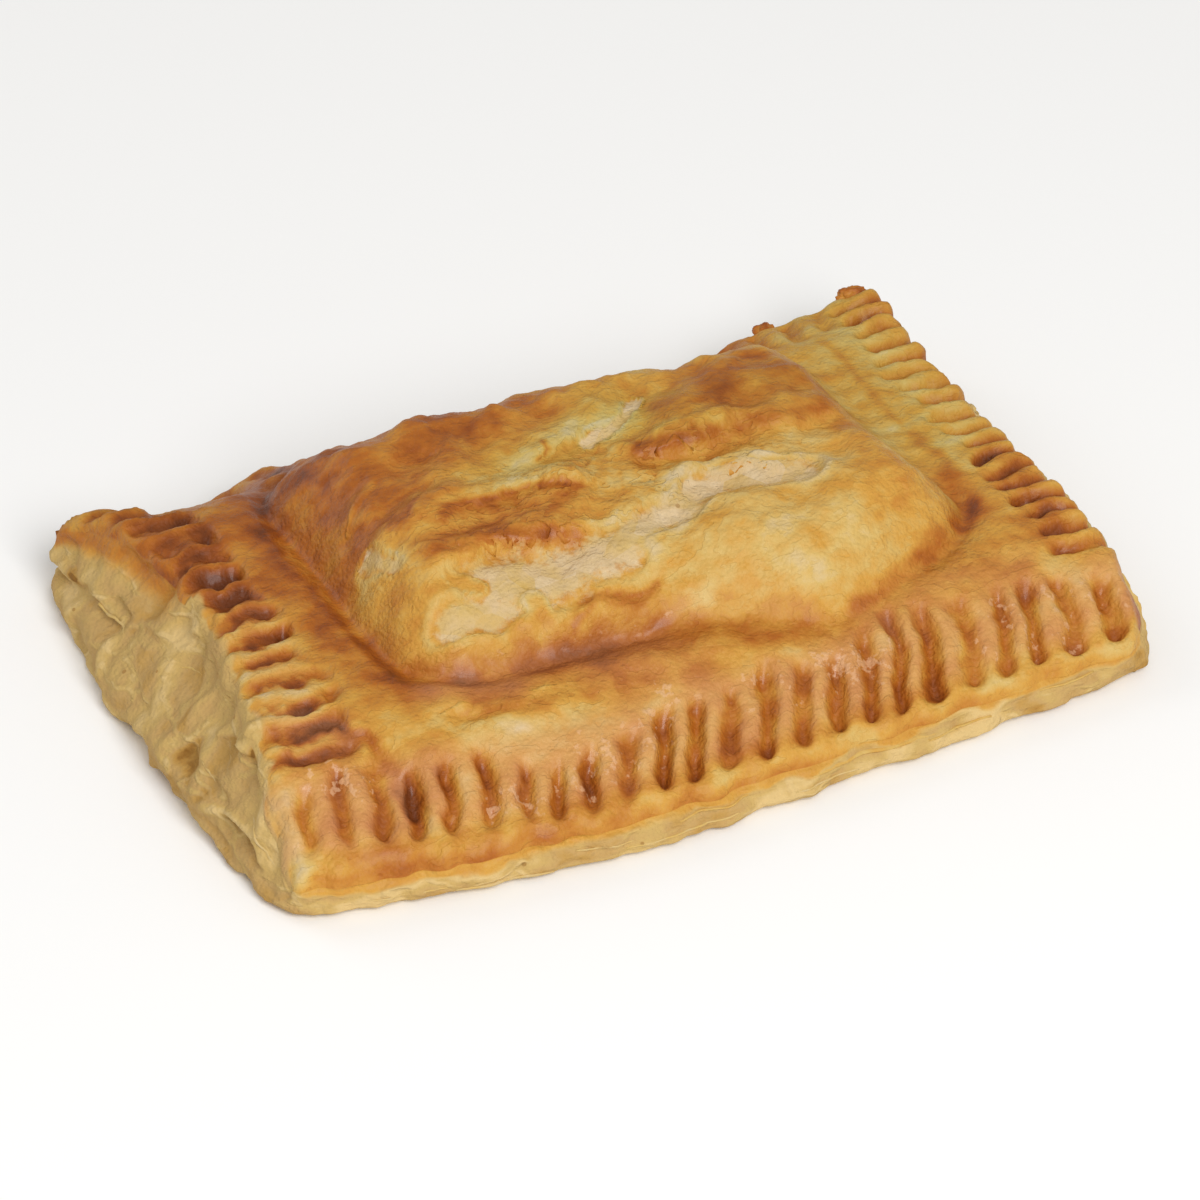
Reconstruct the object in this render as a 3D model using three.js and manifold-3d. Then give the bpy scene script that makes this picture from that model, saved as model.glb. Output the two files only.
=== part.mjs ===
// A rectangular puff-pastry pie: a pale base and a browned lid, sealed round the rim with fork marks.
// Millimetres, +Z up. The origin is the middle of the underside, X runs along the pie and -Y is its front.
import * as THREE from "three";
import { mergeVertices } from "three/addons/utils/BufferGeometryUtils.js";
import Module from "manifold-3d";

const wasm = await Module();
wasm.setup();

// Plan of the base, measured over its swollen edges
const LENGTH = 150;
const WIDTH = 104;
const END_BOW = 3.5; // how far a short edge swells out between its corners
const FRONT_BOW = 7;
const BACK_BOW = 4;
const BOW_POWER = 1.6;
const BOW_SHIFT = 0.2; // the long edges swell most a little left of the middle
const CORNER_PULL = 1.3; // how far the rounding draws a corner in
const CORNER_SHARPNESS = 16;
const EDGE_WAVE = 0.6; // unevenness of the cut edge
const EDGE_CLOSENESS = 2; // its waves are this much closer than the lid's own unevenness
const TRAY_ROUNDING = 1.6; // the underside's edge curls up this far in from the outline

// Setback of the lid's edge from the base's edge
const LEFT_SETBACK = 12;
const RIGHT_SETBACK = 5.5;
const LONG_SETBACK = 1.2;
const SETBACK_SHIFT = 0.25; // the ends lean in most a little behind the middle

// The lid's rim is arched from front to back like a barrel vault
const FRONT_EDGE = 7;
const BACK_EDGE = { left: 9.5, right: 13 };
const VAULT_TOP = { left: 19.5, right: 17 };
const FRONT_RISE = 30; // the vault climbs over this much of the width
const BACK_RISE = 22;
const CORNER_CURL = 3; // the back corners lift
const CURL_REACH = 11;
const RIM_DIPS = [
  { from: [-62, 47], to: [-42, 47], height: -3.5, halfWidth: 9 },
  { from: [2, 49], to: [44, 49], height: -3, halfWidth: 9 },
];

// The filled crown inside the rim, a rounded rectangle in plan whose ends lean, with a crease round its foot
const CROWN = { left: -47, right: 56, front: -24.5, back: 38, corner: 13 };
const CROWN_LEAN = 0.06;
const CROWN_HEIGHT = 9.8;
const CROWN_SHOULDER = 15; // the crown reaches its full height this far inside its outline
const FOOT_SOFTNESS = 1.25;
const CREASE_DEPTH = 1.3;
const CREASE_WIDTH = 3.2;
const FILLING_LUMP = { x: 26, halfWidth: 17, reach: 9 }; // the filling pushes the crown's front out here
const UNEVENNESS = 0.9;

// Loose folds in the lid, and troughs where the height is negative
const FOLDS = [
  { from: [-30, 1], to: [-4, -1], height: 1.7, halfWidth: 5 },
  { from: [-34, -15], to: [26, -7], height: -1.5, halfWidth: 5 },
  { from: [-24, 25], to: [14, 27], height: 2.2, halfWidth: 6 },
  { from: [13, 10], to: [40, 13], height: 1.8, halfWidth: 6 },
  { from: [-42, 12], to: [-38, -14], height: 1.2, halfWidth: 5 },
];

// Fork marks
const LONG_MARKS = 25; // spaces between marks along a long edge
const SHORT_MARKS = 17;
const LINES_PER_MARK = 3;
const MARK_DEPTH = 1.7;
const MARK_START = 1.5; // from the lid's edge
const MARK_END = 14;
const MARK_FADE = { outer: 2, inner: 3 }; // a mark grows to its full depth over these lengths
const MARK_LEAN = 4.5; // the front marks' outer ends lie this far to the left
const MARK_UNEVENNESS = 0.35;
const MARK_SCATTER = 23; // step in the unevenness from one mark to the next

// Side walls
const WALL_ROWS = 6;
const BASE_SHARE = 0.45; // share of a wall's height that is base sheet
const SEAM_DEPTH = 1; // notch between the base and the lid
const SEAM_WIDTH = 0.12; // as a share of the wall's height
const FLAKE_DEPTH = 0.8;
const FLAKE_DRIFT = [70, -50]; // the layers' unevenness shifts this far between the underside and the lid

// Browned scraps that stand up from the back edge
const SCRAPS = [
  { at: [66.5, 47.5, 14.5], halfSize: [2.6, 1.7, 1.7] },
  { at: [51.5, 48, 11.5], halfSize: [1.9, 1.6, 1.4] },
];
const SCRAP_SIDES = { round: 10, down: 7 };

const TRAY_THICKNESS = 10; // of the block that cuts the underside flat

const { clamp, lerp, smoothstep } = THREE.MathUtils;
const bell = (t) => Math.exp(-t * t);
const quarterRise = (t) => Math.sin((clamp(t, 0, 1) * Math.PI) / 2);

// Slow unevenness between -1 and 1, from waves whose lengths share no common period.
function waver(a, b) {
  const long = Math.sin(0.11 * a + 0.19 * b + 0.4);
  const middle = Math.sin(0.23 * a - 0.13 * b + 2.1);
  const short = Math.sin(-0.31 * a + 0.29 * b + 4.4);
  return (long + middle + short) / 3;
}

// Where the base's edge lies, for u and v from -1 to 1 across the pie.
function basePlan(u, v) {
  const corner = CORNER_PULL * Math.abs(u * v) ** CORNER_SHARPNESS;
  const fromSwell = Math.abs(u + BOW_SHIFT * (1 - u * u));
  const bow = lerp(FRONT_BOW, BACK_BOW, (v + 1) / 2) * fromSwell ** BOW_POWER;
  const x = u * (LENGTH / 2 - END_BOW * v * v - corner);
  const y = v * (WIDTH / 2 - bow - corner);
  return new THREE.Vector2(x, y);
}

// Where the lid lies: set back from the base most near each side's middle, and fanned to the left in front.
function lidPlan(u, v) {
  const fromDeepest = v - SETBACK_SHIFT * (1 - v * v);
  const intoX = u * Math.abs(u) * (1 - fromDeepest ** 2) * (u < 0 ? LEFT_SETBACK : RIGHT_SETBACK);
  const intoY = v * Math.abs(v) * (1 - u * u) * LONG_SETBACK;
  const lean = MARK_LEAN * (1 - u * u) * (1 - smoothstep(v, -1, -1 + (2 * MARK_END) / WIDTH));
  const plan = basePlan(u, v);
  return plan.set(plan.x - intoX - lean, plan.y - intoY);
}

// Height that a list of folds adds at a place. Each fades at both its ends.
function foldsAt(folds, x, y) {
  let sum = 0;
  for (const { from, to, height, halfWidth } of folds) {
    const [alongX, alongY] = [to[0] - from[0], to[1] - from[1]];
    const [offX, offY] = [x - from[0], y - from[1]];
    const run = Math.hypot(alongX, alongY);
    const along = (offX * alongX + offY * alongY) / run ** 2;
    const across = (offX * alongY - offY * alongX) / run;
    const ends = smoothstep(along, -0.2, 0.2) * (1 - smoothstep(along, 0.8, 1.2));
    sum += height * bell(across / halfWidth) * ends;
  }
  return sum;
}

// Height of the rim's vault at a place in the flat sheet.
function vaultHeight(x, y) {
  const top = lerp(VAULT_TOP.left, VAULT_TOP.right, x / LENGTH + 0.5);
  const backEdge = lerp(BACK_EDGE.left, BACK_EDGE.right, smoothstep(x, 0, LENGTH / 2));
  const front = (top - FRONT_EDGE) * (1 - quarterRise((y + WIDTH / 2) / FRONT_RISE));
  const back = (top - backEdge) * (1 - quarterRise((WIDTH / 2 - y) / BACK_RISE));
  const fromCorner = Math.hypot(LENGTH / 2 - Math.abs(x), WIDTH / 2 - y);
  return top - front - back + CORNER_CURL * bell(fromCorner / CURL_REACH) + foldsAt(RIM_DIPS, x, y);
}

// How far a place lies inside the crown's outline, negative outside it.
function depthInCrown(x, y) {
  const lump = FILLING_LUMP.reach * bell((x - FILLING_LUMP.x) / FILLING_LUMP.halfWidth);
  const front = CROWN.front - lump;
  const halfX = (CROWN.right - CROWN.left) / 2 - CROWN.corner;
  const halfY = (CROWN.back - front) / 2 - CROWN.corner;
  const overX = Math.abs(x + CROWN_LEAN * y - (CROWN.left + CROWN.right) / 2) - halfX;
  const overY = Math.abs(y - (CROWN.back + front) / 2) - halfY;
  const outside = Math.hypot(Math.max(overX, 0), Math.max(overY, 0));
  return CROWN.corner - outside - Math.min(Math.max(overX, overY), 0);
}

// Depth of a row of fork marks at a distance from the lid's edge. A mark lies at each whole number of turns.
function markDepth(fromEdge, turns) {
  const outer = smoothstep(fromEdge, MARK_START - MARK_FADE.outer / 2, MARK_START + MARK_FADE.outer / 2);
  const inner = 1 - smoothstep(fromEdge, MARK_END - MARK_FADE.inner, MARK_END);
  const uneven = 1 + MARK_UNEVENNESS * waver(MARK_SCATTER * Math.round(turns), 0);
  const groove = (0.5 + 0.5 * Math.cos(2 * Math.PI * turns)) ** 2;
  return MARK_DEPTH * uneven * outer * inner * groove;
}

// Height of the lid's upper face, for u and v from -1 to 1.
function lidHeight(u, v) {
  const x = (u * LENGTH) / 2;
  const y = (v * WIDTH) / 2;
  const inside = depthInCrown(x, y);
  const crown = CROWN_HEIGHT + UNEVENNESS * waver(x, y) + foldsAt(FOLDS, x, y);
  const crease = CREASE_DEPTH * bell(inside / CREASE_WIDTH);
  const fromLong = WIDTH / 2 - Math.abs(y);
  const fromShort = LENGTH / 2 - Math.abs(x);
  const longMarks = markDepth(fromLong, ((u + 1) / 2) * LONG_MARKS);
  const shortMarks = markDepth(fromShort, ((v + 1) / 2) * SHORT_MARKS);
  const marks = fromLong < fromShort ? longMarks : shortMarks;
  return vaultHeight(x, y) + crown * quarterRise(inside / CROWN_SHOULDER) ** FOOT_SOFTNESS - crease - marks;
}

// Carries a point of a block onto the crust: w is 0 on the underside and 1 on the lid.
function crustPoint(u, v, w) {
  const plan = basePlan(u, v).lerp(lidPlan(u, v), smoothstep(w, BASE_SHARE / 2, 1));
  const outwards = new THREE.Vector2(Math.abs(u) === 1 ? u : 0, Math.abs(v) === 1 ? v : 0).normalize();
  const onWall = w > 0 && w < 1 ? 1 : 0;
  const seam = SEAM_DEPTH * bell((w - BASE_SHARE) / SEAM_WIDTH);
  const flakes = FLAKE_DEPTH * waver(plan.x + FLAKE_DRIFT[0] * w, plan.y + FLAKE_DRIFT[1] * w);
  const rounding = w === 0 ? TRAY_ROUNDING : 0;
  const wave = EDGE_WAVE * waver(EDGE_CLOSENESS * plan.x, EDGE_CLOSENESS * plan.y);
  plan.addScaledVector(outwards, wave + onWall * (flakes - seam) - rounding);
  return new THREE.Vector3(plan.x, plan.y, lerp(-TRAY_ROUNDING, lidHeight(u, v), w));
}

// A solid from a closed geometry, and a geometry from a solid.
function toSolid(geometry) {
  geometry.deleteAttribute("normal");
  geometry.deleteAttribute("uv");
  const merged = mergeVertices(geometry);
  const vertProperties = new Float32Array(merged.getAttribute("position").array);
  const triVerts = new Uint32Array(merged.index.array);
  return new wasm.Manifold(new wasm.Mesh({ numProp: 3, vertProperties, triVerts }));
}

function toGeometry(solid) {
  const { vertProperties, triVerts } = solid.getMesh();
  const geometry = new THREE.BufferGeometry();
  geometry.setAttribute("position", new THREE.BufferAttribute(vertProperties, 3));
  geometry.setIndex(new THREE.BufferAttribute(triVerts, 1));
  geometry.computeVertexNormals();
  return geometry;
}

// The crust: a block with grid lines on the fork marks, carried onto the pie and cut flat on the tray.
function crust() {
  const linesAlong = LINES_PER_MARK * LONG_MARKS;
  const linesAcross = LINES_PER_MARK * SHORT_MARKS;
  const block = new THREE.BoxGeometry(2, 2, 1, linesAlong, linesAcross, WALL_ROWS);
  const position = block.getAttribute("position");
  for (let i = 0; i < position.count; i++) {
    const point = crustPoint(position.getX(i), position.getY(i), position.getZ(i) + 0.5);
    position.setXYZ(i, point.x, point.y, point.z);
  }
  const tray = new THREE.BoxGeometry(2 * LENGTH, 2 * WIDTH, TRAY_THICKNESS);
  tray.translate(0, 0, -TRAY_THICKNESS / 2);
  return toSolid(block).subtract(toSolid(tray));
}

// One scrap, a squat round lump.
function scrap({ at, halfSize }) {
  const lump = new THREE.SphereGeometry(1, SCRAP_SIDES.round, SCRAP_SIDES.down);
  return toSolid(lump.scale(...halfSize).translate(...at));
}

// Moves a geometry so that the origin lies midway between its outermost edges, still on the tray.
function centred(geometry) {
  geometry.computeBoundingBox();
  const middle = geometry.boundingBox.getCenter(new THREE.Vector3());
  return geometry.translate(-middle.x, -middle.y, 0);
}

const bakedPastry = new THREE.MeshStandardMaterial({ color: 0xc98a3c, roughness: 0.45, metalness: 0 });
const pieSolid = SCRAPS.reduce((solid, piece) => solid.add(scrap(piece)), crust());
const pie = new THREE.Mesh(centred(toGeometry(pieSolid)), bakedPastry);
pie.name = "pie";

const model = new THREE.Group();
model.add(pie);
export default model;
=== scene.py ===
# %% [markdown]
# # A puff pastry pie
# A pie of this kind is two sheets of puff pastry with a filling between them. The upper sheet, the lid, is
# pressed down round the filling with a fork and brushed with egg, so it bakes to a glossy golden brown. The
# cut sides get no egg and stay pale, and there the many thin layers of the dough show. This lesson builds
# that crust as one fine skin, gives it a map of how brown each place is, and adds the loose leaves, flakes
# and scraps that stand off it.

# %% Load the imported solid
import math
import random

import bmesh
import bpy
import numpy as np
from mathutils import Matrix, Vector, kdtree, noise


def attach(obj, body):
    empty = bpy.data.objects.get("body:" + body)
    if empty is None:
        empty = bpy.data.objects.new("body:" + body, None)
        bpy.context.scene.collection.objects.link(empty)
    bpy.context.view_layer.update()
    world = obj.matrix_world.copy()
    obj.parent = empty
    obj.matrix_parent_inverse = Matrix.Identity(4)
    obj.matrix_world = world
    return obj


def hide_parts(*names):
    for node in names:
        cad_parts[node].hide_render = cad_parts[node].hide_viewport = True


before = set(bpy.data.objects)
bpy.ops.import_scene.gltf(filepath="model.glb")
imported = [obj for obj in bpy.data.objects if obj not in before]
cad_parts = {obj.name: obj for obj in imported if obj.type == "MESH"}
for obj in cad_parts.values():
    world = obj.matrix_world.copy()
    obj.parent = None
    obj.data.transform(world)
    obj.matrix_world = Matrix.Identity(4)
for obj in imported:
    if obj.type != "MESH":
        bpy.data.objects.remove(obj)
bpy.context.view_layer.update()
MM = 0.001

# %% [markdown]
# ## The camera
# The picture was taken from in front, a little from the left and well above the pie, with a long lens. A
# camera's place can be guessed by eye, but here its angles and its focal length were fitted to the pie's four
# corners. The lens's axis doesn't meet the middle of the picture, and a small shift of the frame stands for
# that.

# %% Place the camera
PHOTO_SIDE = 1200  # pixels
FOCAL_LENGTH = 7429  # pixels
LENS_AXIS = (595.9, 567.5)  # pixels from the left and from the top
SENSOR = 36  # mm
AZIMUTH = math.radians(-25.45)
ELEVATION = math.radians(35.53)
DISTANCE = 1.128
LOOK_AT = Vector((0, 0.002, 0.0113))

towards_camera = Vector((
    math.sin(AZIMUTH) * math.cos(ELEVATION),
    -math.cos(AZIMUTH) * math.cos(ELEVATION),
    math.sin(ELEVATION),
))
lens = bpy.data.cameras.new("photo camera")
lens.sensor_width = SENSOR
lens.lens = FOCAL_LENGTH / PHOTO_SIDE * SENSOR
lens.shift_x = 0.5 - LENS_AXIS[0] / PHOTO_SIDE
lens.shift_y = LENS_AXIS[1] / PHOTO_SIDE - 0.5
camera = bpy.data.objects.new("photo camera", lens)
camera.location = LOOK_AT + DISTANCE * towards_camera
camera.rotation_euler = towards_camera.to_track_quat("Z", "Y").to_euler()
bpy.context.collection.objects.link(camera)
bpy.context.scene.camera = camera
print("lens:", round(lens.lens), "mm, shift:", round(lens.shift_x, 4), round(lens.shift_y, 4))

# %% [markdown]
# ## Helpers for materials
# A material is a small graph of nodes. Making each node takes several lines, so a helper does it in one: it
# adds a node, sets it up, and fills or links its inputs. The others are short names for the nodes used most:
# a colour ramp from a list of stops, a mix of two colours, a sum or product, and a soft step between two
# limits.

# %% Node helpers
def add_node(tree, kind, inputs=None, **settings):
    made = tree.nodes.new("ShaderNode" + kind)
    for name, value in settings.items():
        setattr(made, name, value)
    for name, value in (inputs or {}).items():
        if isinstance(value, bpy.types.NodeSocket):
            tree.links.new(value, made.inputs[name])
        else:
            made.inputs[name].default_value = value
    return made


def colour_ramp(tree, factor, stops):
    ramp = add_node(tree, "ValToRGB", {"Fac": factor})
    elements = ramp.color_ramp.elements
    while len(elements) < len(stops):
        elements.new(1.0)
    for element, (place, colour) in zip(elements, stops):
        element.position = place
        element.color = (*colour, 1.0)
    return ramp.outputs["Color"]


def mix_colours(tree, factor, first, second, blend="MIX"):
    made = add_node(tree, "Mix", {0: factor, 6: first, 7: second}, data_type="RGBA", blend_type=blend)
    return made.outputs[2]


def maths(tree, operation, first, second, third=0.0):
    made = add_node(tree, "Math", {0: first, 1: second, 2: third}, operation=operation)
    return made.outputs[0]


def between(tree, value, low, high, to_low=0.0, to_high=1.0):
    ends = {"Value": value, "From Min": low, "From Max": high, "To Min": to_low, "To Max": to_high}
    made = add_node(tree, "MapRange", ends, interpolation_type="SMOOTHSTEP")
    return made.outputs["Result"]


def new_material(name):
    material = bpy.data.materials.new(name)
    material.use_nodes = True
    tree = material.node_tree
    return material, tree, tree.nodes["Principled BSDF"]


helpers = (add_node, colour_ramp, mix_colours, maths, between, new_material)
print("node helpers:", ", ".join(helper.__name__ for helper in helpers))

# %% [markdown]
# ## The studio
# The pie lies in even, soft light on a pale ground, a plain grid of one face. Big area lights give soft
# shadows: the key light hangs over the front, a wide one from behind puts the broad sheen on the back of the
# lid, and a pale world fills in the rest. The helper that turns a bmesh into an object serves every later
# piece too. It sorts the faces first, by their vertices, because extruding makes them in an order that
# changes from run to run.

# %% Floor, lights and world
FLOOR_HALF_SIDE = 4.0
LIGHTS = {
    # name: (place, aim, width, watts)
    "key": ((-0.05, -1.0, 0.88), (0, 0, 0), 0.8, 13.2),
    "sheen": ((-0.6, 1.0, 0.7), (0, 0, 0), 0.9, 3),
}
WORLD_STRENGTH = 0.47
MOST_VERTICES = 1e6  # more than any piece has


def by_vertices(face):
    numbers = [vert.index for vert in face.verts]
    return min(numbers) * MOST_VERTICES + max(numbers)


def link_mesh(bm, name):
    bm.verts.index_update()
    bm.faces.sort(key=by_vertices)
    piece = bpy.data.objects.new(name, bpy.data.meshes.new(name))
    bm.to_mesh(piece.data)
    bm.free()
    bpy.context.collection.objects.link(piece)
    return piece


floor_mesh = bmesh.new()
bmesh.ops.create_grid(floor_mesh, x_segments=1, y_segments=1, size=FLOOR_HALF_SIDE)
floor = link_mesh(floor_mesh, "floor")
floor_paint, _, floor_shader = new_material("pale floor")
floor_shader.inputs["Base Color"].default_value = (0.97, 0.97, 0.965, 1)
floor_shader.inputs["Roughness"].default_value = 0.9
floor_shader.inputs["Specular IOR Level"].default_value = 0.1
floor.data.materials.append(floor_paint)

for name, (place, aim, width, watts) in LIGHTS.items():
    lamp = bpy.data.lights.new(name, "AREA")
    lamp.shape = "DISK"
    lamp.size = width
    lamp.energy = watts
    light = bpy.data.objects.new(name, lamp)
    light.location = place
    light.rotation_euler = (Vector(place) - Vector(aim)).to_track_quat("Z", "Y").to_euler()
    bpy.context.collection.objects.link(light)

world = bpy.data.worlds.new("soft white room")
world.use_nodes = True
world.node_tree.nodes["Background"].inputs["Color"].default_value = (1.0, 0.985, 0.96, 1)
world.node_tree.nodes["Background"].inputs["Strength"].default_value = WORLD_STRENGTH
bpy.context.scene.world = world
bpy.context.scene.view_settings.view_transform = "Standard"
print("lights:", ", ".join(LIGHTS))

# %% [markdown]
# ## The plan of the pie
# All shapes below are worked out in millimetres. A place on the pie has two numbers, u and v, that run from
# -1 to 1 along and across the dough, as it lay before baking. One function carries them to the edge of the
# base sheet, and another to the lid, which shrank and drew back from the base, most of all at the left end.
# The lid's front edge also leans to the left, where the fork pushed it, and the whole edge waves a little in
# and out.

# %% Plan
LENGTH = 150
WIDTH = 104
END_BOW = 3.5
FRONT_BOW = 7
BACK_BOW = 4
BOW_POWER = 1.6
BOW_SHIFT = 0.2
CORNER_PULL = 1.3
CORNER_SHARPNESS = 16
LEFT_SETBACK = 12
RIGHT_SETBACK = 5.5
LONG_SETBACK = 1.2
SETBACK_SHIFT = 0.25
FRONT_MARK_END = 14  # the front fork marks lean this far in from the lid's edge
MARK_LEAN = 4.5  # the front marks' outer ends lie this far to the left
EDGE_RIPPLE = 0.7
RIPPLE_REACH = 4  # mm from the edge over which the ripple fades


def smoothstep(value, low, high):
    part = np.clip((value - low) / (high - low), 0, 1)
    return part * part * (3 - 2 * part)


def bell(value):
    return np.exp(-value * value)


def quarter_rise(value):
    return np.sin(np.clip(value, 0, 1) * np.pi / 2)


def waver(a, b):
    long = np.sin(0.11 * a + 0.19 * b + 0.4)
    middle = np.sin(0.23 * a - 0.13 * b + 2.1)
    short = np.sin(-0.31 * a + 0.29 * b + 4.4)
    return (long + middle + short) / 3


def base_plan(u, v):
    corner = CORNER_PULL * np.abs(u * v) ** CORNER_SHARPNESS
    from_swell = np.abs(u + BOW_SHIFT * (1 - u * u))
    bow = (FRONT_BOW + (BACK_BOW - FRONT_BOW) * (v + 1) / 2) * from_swell ** BOW_POWER
    return u * (LENGTH / 2 - END_BOW * v * v - corner), v * (WIDTH / 2 - bow - corner)


def lid_plan(u, v):
    from_deepest = v - SETBACK_SHIFT * (1 - v * v)
    end_setback = np.where(u < 0, LEFT_SETBACK, RIGHT_SETBACK)
    into_x = u * np.abs(u) * (1 - from_deepest ** 2) * end_setback
    into_y = v * np.abs(v) * (1 - u * u) * LONG_SETBACK
    lean = MARK_LEAN * (1 - u * u) * (1 - smoothstep(v, -1, -1 + 2 * FRONT_MARK_END / WIDTH))
    x, y = base_plan(u, v)
    ripple = EDGE_RIPPLE * waver(3 * x + 50, 3 * y)
    ripple_x = np.sign(u) * ripple * bell((1 - np.abs(u)) * LENGTH / 2 / RIPPLE_REACH)
    ripple_y = np.sign(v) * ripple * bell((1 - np.abs(v)) * WIDTH / 2 / RIPPLE_REACH)
    return x - into_x - lean + ripple_x, y - into_y + ripple_y


print("lid at mid left:", [round(float(c), 1) for c in lid_plan(-1.0, 0.0)], "mm")

# %% [markdown]
# ## The lid's large form
# Under the fork the rim became a low vault that climbs from the front edge and falls again to the back edge.
# Inside it the filling holds up a crown with a soft shoulder and a crease round its foot, which nearly goes
# where a lump of filling pushes the front out and at the right end. The loose lid settled on the filling in
# folds, and each fold is a ridge or a trough along a line that fades at its ends.

# %% Vault, crown and folds
FRONT_EDGE = 7
BACK_EDGE = (9.5, 13)  # left, right
VAULT_TOP = (19.5, 17)  # left, right
FRONT_RISE = 30
BACK_RISE = 22
CORNER_CURL = 3
CURL_REACH = 11
CROWN = {"left": -47, "right": 56, "front": -24.5, "back": 38, "corner": 13}
CROWN_LEAN = 0.06
CROWN_HEIGHT = 9.8
CROWN_SHOULDER = 15
FOOT_SOFTNESS = 1.25
CREASE_DEPTH = 1.3
CREASE_WIDTH = 2.4
LUMP = {"x": 26, "half_width": 17, "reach": 9}
UNEVENNESS = 0.9
# start, end, height, half width
RIM_DIPS = [
    ((-62, 47), (-42, 47), -3.5, 9),
    ((2, 49), (44, 49), -3, 9),
]
FOLDS = [
    ((-30, 1), (-4, -1), 1.7, 5),
    ((-34, -15), (26, -7), -1.5, 5),
    ((-24, 25), (14, 27), 1.4, 6),
    ((13, 10), (40, 13), 1.8, 6),
    ((-42, 12), (-38, -14), 1.2, 5),
]


def folds_at(folds, x, y):
    total = np.zeros_like(x)
    for start, end, height, half_width in folds:
        run_x, run_y = end[0] - start[0], end[1] - start[1]
        run = math.hypot(run_x, run_y)
        along = ((x - start[0]) * run_x + (y - start[1]) * run_y) / run ** 2
        across = ((x - start[0]) * run_y - (y - start[1]) * run_x) / run
        ends = smoothstep(along, -0.2, 0.2) * (1 - smoothstep(along, 0.8, 1.2))
        total += height * bell(across / half_width) * ends
    return total


def vault_height(x, y):
    top = VAULT_TOP[0] + (VAULT_TOP[1] - VAULT_TOP[0]) * (x / LENGTH + 0.5)
    back_edge = BACK_EDGE[0] + (BACK_EDGE[1] - BACK_EDGE[0]) * smoothstep(x, 0, LENGTH / 2)
    front = (top - FRONT_EDGE) * (1 - quarter_rise((y + WIDTH / 2) / FRONT_RISE))
    back = (top - back_edge) * (1 - quarter_rise((WIDTH / 2 - y) / BACK_RISE))
    from_corner = np.hypot(LENGTH / 2 - np.abs(x), WIDTH / 2 - y)
    return top - front - back + CORNER_CURL * bell(from_corner / CURL_REACH) + folds_at(RIM_DIPS, x, y)


def depth_in_crown(x, y):
    front = CROWN["front"] - LUMP["reach"] * bell((x - LUMP["x"]) / LUMP["half_width"])
    half_x = (CROWN["right"] - CROWN["left"]) / 2 - CROWN["corner"]
    half_y = (CROWN["back"] - front) / 2 - CROWN["corner"]
    over_x = np.abs(x + CROWN_LEAN * y - (CROWN["left"] + CROWN["right"]) / 2) - half_x
    over_y = np.abs(y - (CROWN["back"] + front) / 2) - half_y
    outside = np.hypot(np.maximum(over_x, 0), np.maximum(over_y, 0))
    return CROWN["corner"] - outside - np.minimum(np.maximum(over_x, over_y), 0)


def crown_height(x, y):
    inside = depth_in_crown(x, y)
    full = CROWN_HEIGHT + UNEVENNESS * waver(x, y) + folds_at(FOLDS, x, y)
    soft_front = smoothstep(x, -8, 8) * (1 - smoothstep(x, 36, 48)) * (y < 0)
    soft_right = smoothstep(x, 40, 52) * smoothstep(y, -16, -2)
    rise = quarter_rise(inside / CROWN_SHOULDER) ** (FOOT_SOFTNESS + 0.9 * soft_right)
    crease = CREASE_DEPTH * (1 - 0.8 * np.maximum(soft_front, soft_right))
    return full * rise - crease * bell(inside / CREASE_WIDTH)


print("crown's top:", round(float(vault_height(0.0, 0.0) + crown_height(0.0, 0.0)), 1), "mm")

# %% [markdown]
# ## Fork marks
# A fork leaves a row of grooves with round ridges between them, like a corrugated sheet. No two pushes are
# alike: the grooves wander, and their depth and length vary. Slow sine waves along the row do that without
# any jump from one groove to the next. The front grooves go deepest near the edge, because the fork was
# pressed down over it. In the left half of that row they start farther in and end in points, and the first
# few, in the corner, are shallow. The left row reaches farther in towards the front, and has wide valleys
# with narrow ridges.

# %% Rows of fork marks
FORK_ROWS = {
    # marks in the row, start and end in mm from the lid's edge, depth, depth at the tips, wander, its speed
    "front": (25, 2.2, 14.8, 2.1, 0.95, 0.16, 0.4),
    "back": (25, 2.0, 12.0, 1.2, 1.0, 0.16, 1.2),
    "left": (17, 1.6, 15.0, 1.8, 1.2, 0.17, 2.0),
    "right": (22, -0.6, 11.5, 1.9, 1.0, 0.2, 2.0),
}
GROOVE_SHARPNESS = (1.35, 1.25)  # at the left and right ends of the front row, the first also elsewhere
LEFT_SHARPNESS = 0.7
LEFT_STRETCH = 3.5  # mm that the left marks reach farther in towards the front
SET_IN = 1.8  # mm that the left front marks start farther in
CORNER_SHARE = 0.58  # of the full depth, for the marks in the front left corner
# where the front marks reach farther in or less far: x, half width, change
STRETCHES = [(-62, 10, 2.5), (-26, 13, -3), (36, 11, 4.5), (56, 7, 1.5)]


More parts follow.
